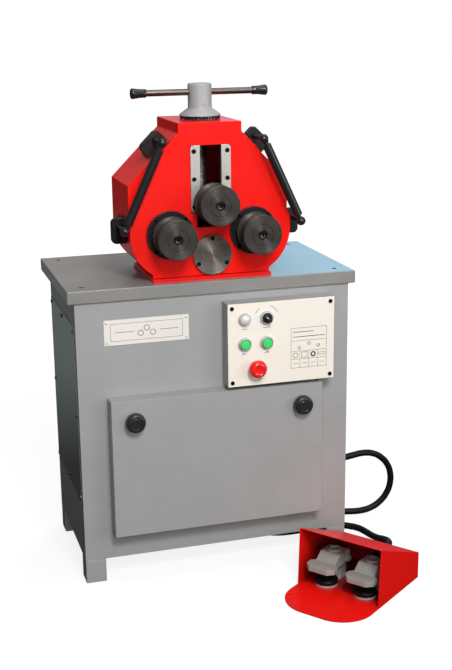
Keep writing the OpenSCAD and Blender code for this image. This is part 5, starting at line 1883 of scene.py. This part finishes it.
@dataclass(frozen=True)
class Lamp:
    """A round soft light that looks at a point, and that gloss may mirror."""

    name: str
    place: Point
    size: float
    power: float
    glint: bool = False
    aim: Point = (0.0, -0.1, 0.62)
    spread: float = 180.0

    def hang(self) -> None:
        """Hang the light at its place."""
        data = bpy.data.lights.new(self.name, "AREA")
        data.shape = "DISK"
        data.size = self.size
        data.energy = self.power
        data.spread = math.radians(self.spread)
        lamp = bpy.data.objects.new(self.name, data)
        lamp.visible_glossy = self.glint
        look = (Vector(self.aim) - Vector(self.place)).to_track_quat("-Z", "Y")
        lamp.matrix_world = Matrix.Translation(self.place) @ look.to_matrix().to_4x4()
        bpy.context.scene.collection.objects.link(lamp)


@dataclass
class Studio:
    """The camera of the reference view, a pale floor and soft light."""

    place: Point = (-0.693962, -2.584403, 1.228601)
    yaw: float = 16.512
    pitch: float = 15.114
    roll: float = -0.715
    focal_px: float = 1187.682
    tall_px: float = 670.0
    sensor: float = 36.0
    floor_size: float = 60.0
    lamps: Sequence[Lamp] = (
        Lamp("key", (-0.1, -2.7, 2.55), 0.9, 76.0, glint=True),
        Lamp("front", (-0.5, -3.0, 1.1), 2.4, 31.0),
        Lamp("fill", (2.2, -2.6, 1.3), 1.8, 24.0, glint=True),
        Lamp("left", (-3.0, 0.4, 1.6), 1.0, 0.6, aim=(0.0, 0.0, 1.02), spread=28),
        Lamp("top", (0.2, -0.4, 3.4), 2.2, 24.0, glint=True, aim=(0.0, 0.0, 0.6)),
        Lamp("back", (1.6, 2.6, 2.2), 2.0, 64.0),
    )
    window: Point = (0.42, 0.885, 0.20)
    window_rim: Flat = (0.972, 0.994)
    bright: Colour = (0.52, 1.25, 1.70)
    dim: Colour = (0.25, 0.245, 0.24)
    below: Colour = (0.03, 0.03, 0.03)
    dark_side: Flat = (-0.4, -0.1)
    darkness: float = 0.9
    low_wall: Colour = (0.18, 0.222, 0.212)
    low_wall_side: Flat = (-0.15, -0.05)
    low_wall_foot: Flat = (-0.36, -0.28)
    low_wall_top: Flat = (-0.2, -0.17)
    horizon: Flat = (-0.05, 0.05)

    def camera(self) -> None:
        """Set the camera up."""
        data = bpy.data.cameras.new("view")
        data.sensor_width = self.sensor
        data.lens = self.focal_px * self.sensor / self.tall_px
        yaw, pitch, roll = (math.radians(a) for a in (self.yaw, self.pitch, self.roll))
        ahead = Vector((math.sin(yaw) * math.cos(pitch), math.cos(yaw) * math.cos(pitch), -math.sin(pitch)))
        right = Vector((math.cos(yaw), -math.sin(yaw), 0.0))
        up = right.cross(ahead)
        across = right * math.cos(roll) + up * math.sin(roll)
        above = up * math.cos(roll) - right * math.sin(roll)
        turn = Matrix((across, above, -ahead)).transposed().to_4x4()
        camera = bpy.data.objects.new("view", data)
        camera.matrix_world = Matrix.Translation(self.place) @ turn
        bpy.context.scene.collection.objects.link(camera)
        bpy.context.scene.camera = camera

    def build(self) -> None:
        """Lay the floor, hang the lights and set the room."""
        self.floor()
        for lamp in self.lamps:
            lamp.hang()
        self.room()
        bpy.context.scene.view_settings.view_transform = "Standard"

    def floor(self) -> None:
        """Lay a pale floor that the paint doesn't mirror."""
        floor = started("studio_floor", bpy.ops.mesh.primitive_plane_add, self.floor_size)
        floor.data.materials.append(STUDIO_WHITE.material())
        floor.visible_glossy = False
        floor.visible_diffuse = False
        floor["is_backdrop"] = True

    def room(self) -> None:
        """Set a dim room: a cool window behind, a low wall on the left, dark below, white to the camera."""
        world = bpy.data.worlds.new("studio world")
        world.use_nodes = True
        tree = Tree(world.node_tree)
        where = tree.add("TexCoord").outputs["Generated"]
        parts = tree.add("SeparateXYZ", {0: where}).outputs
        x, z = parts["X"], parts["Z"]
        wall = tree.mix(tree.span(x, *self.dark_side, self.darkness, 0.0), self.dim, self.below)
        lobe = tree.vector("DOT_PRODUCT", where, self.window)
        wall = tree.mix(tree.span(lobe, *self.window_rim), wall, self.bright)
        band = tree.times(tree.span(z, *self.low_wall_foot), tree.span(z, *self.low_wall_top, 1.0, 0.0))
        band = tree.times(tree.span(x, *self.low_wall_side, 1.0, 0.0), band)
        ground = tree.mix(band, self.below, self.low_wall)
        room = tree.mix(tree.span(z, *self.horizon), ground, wall)
        seen = tree.add("LightPath").outputs["Is Camera Ray"]
        shade = tree.add("Background", {"Color": tree.mix(seen, room, WHITE)})
        tree.add("OutputWorld", {"Surface": shade.outputs[0]})
        bpy.context.scene.world = world


def main() -> None:
    """Build every sub-assembly round the frame."""
    logging.basicConfig(level=logging.INFO, format="%(message)s")
    frame = PackedFrame()
    studio = Studio()
    studio.camera()
    for assembly in (
        FootCable(frame), Cabinet(frame), ControlBox(frame), FrontCover(frame), Head(frame), Rolls(frame),
        ScrewFeed(frame), SideBars(frame), PowerUnit(frame), FootSwitch(frame), studio,
    ):
        assembly.build()
    start_clean()


if __name__ == "__main__":
    main()
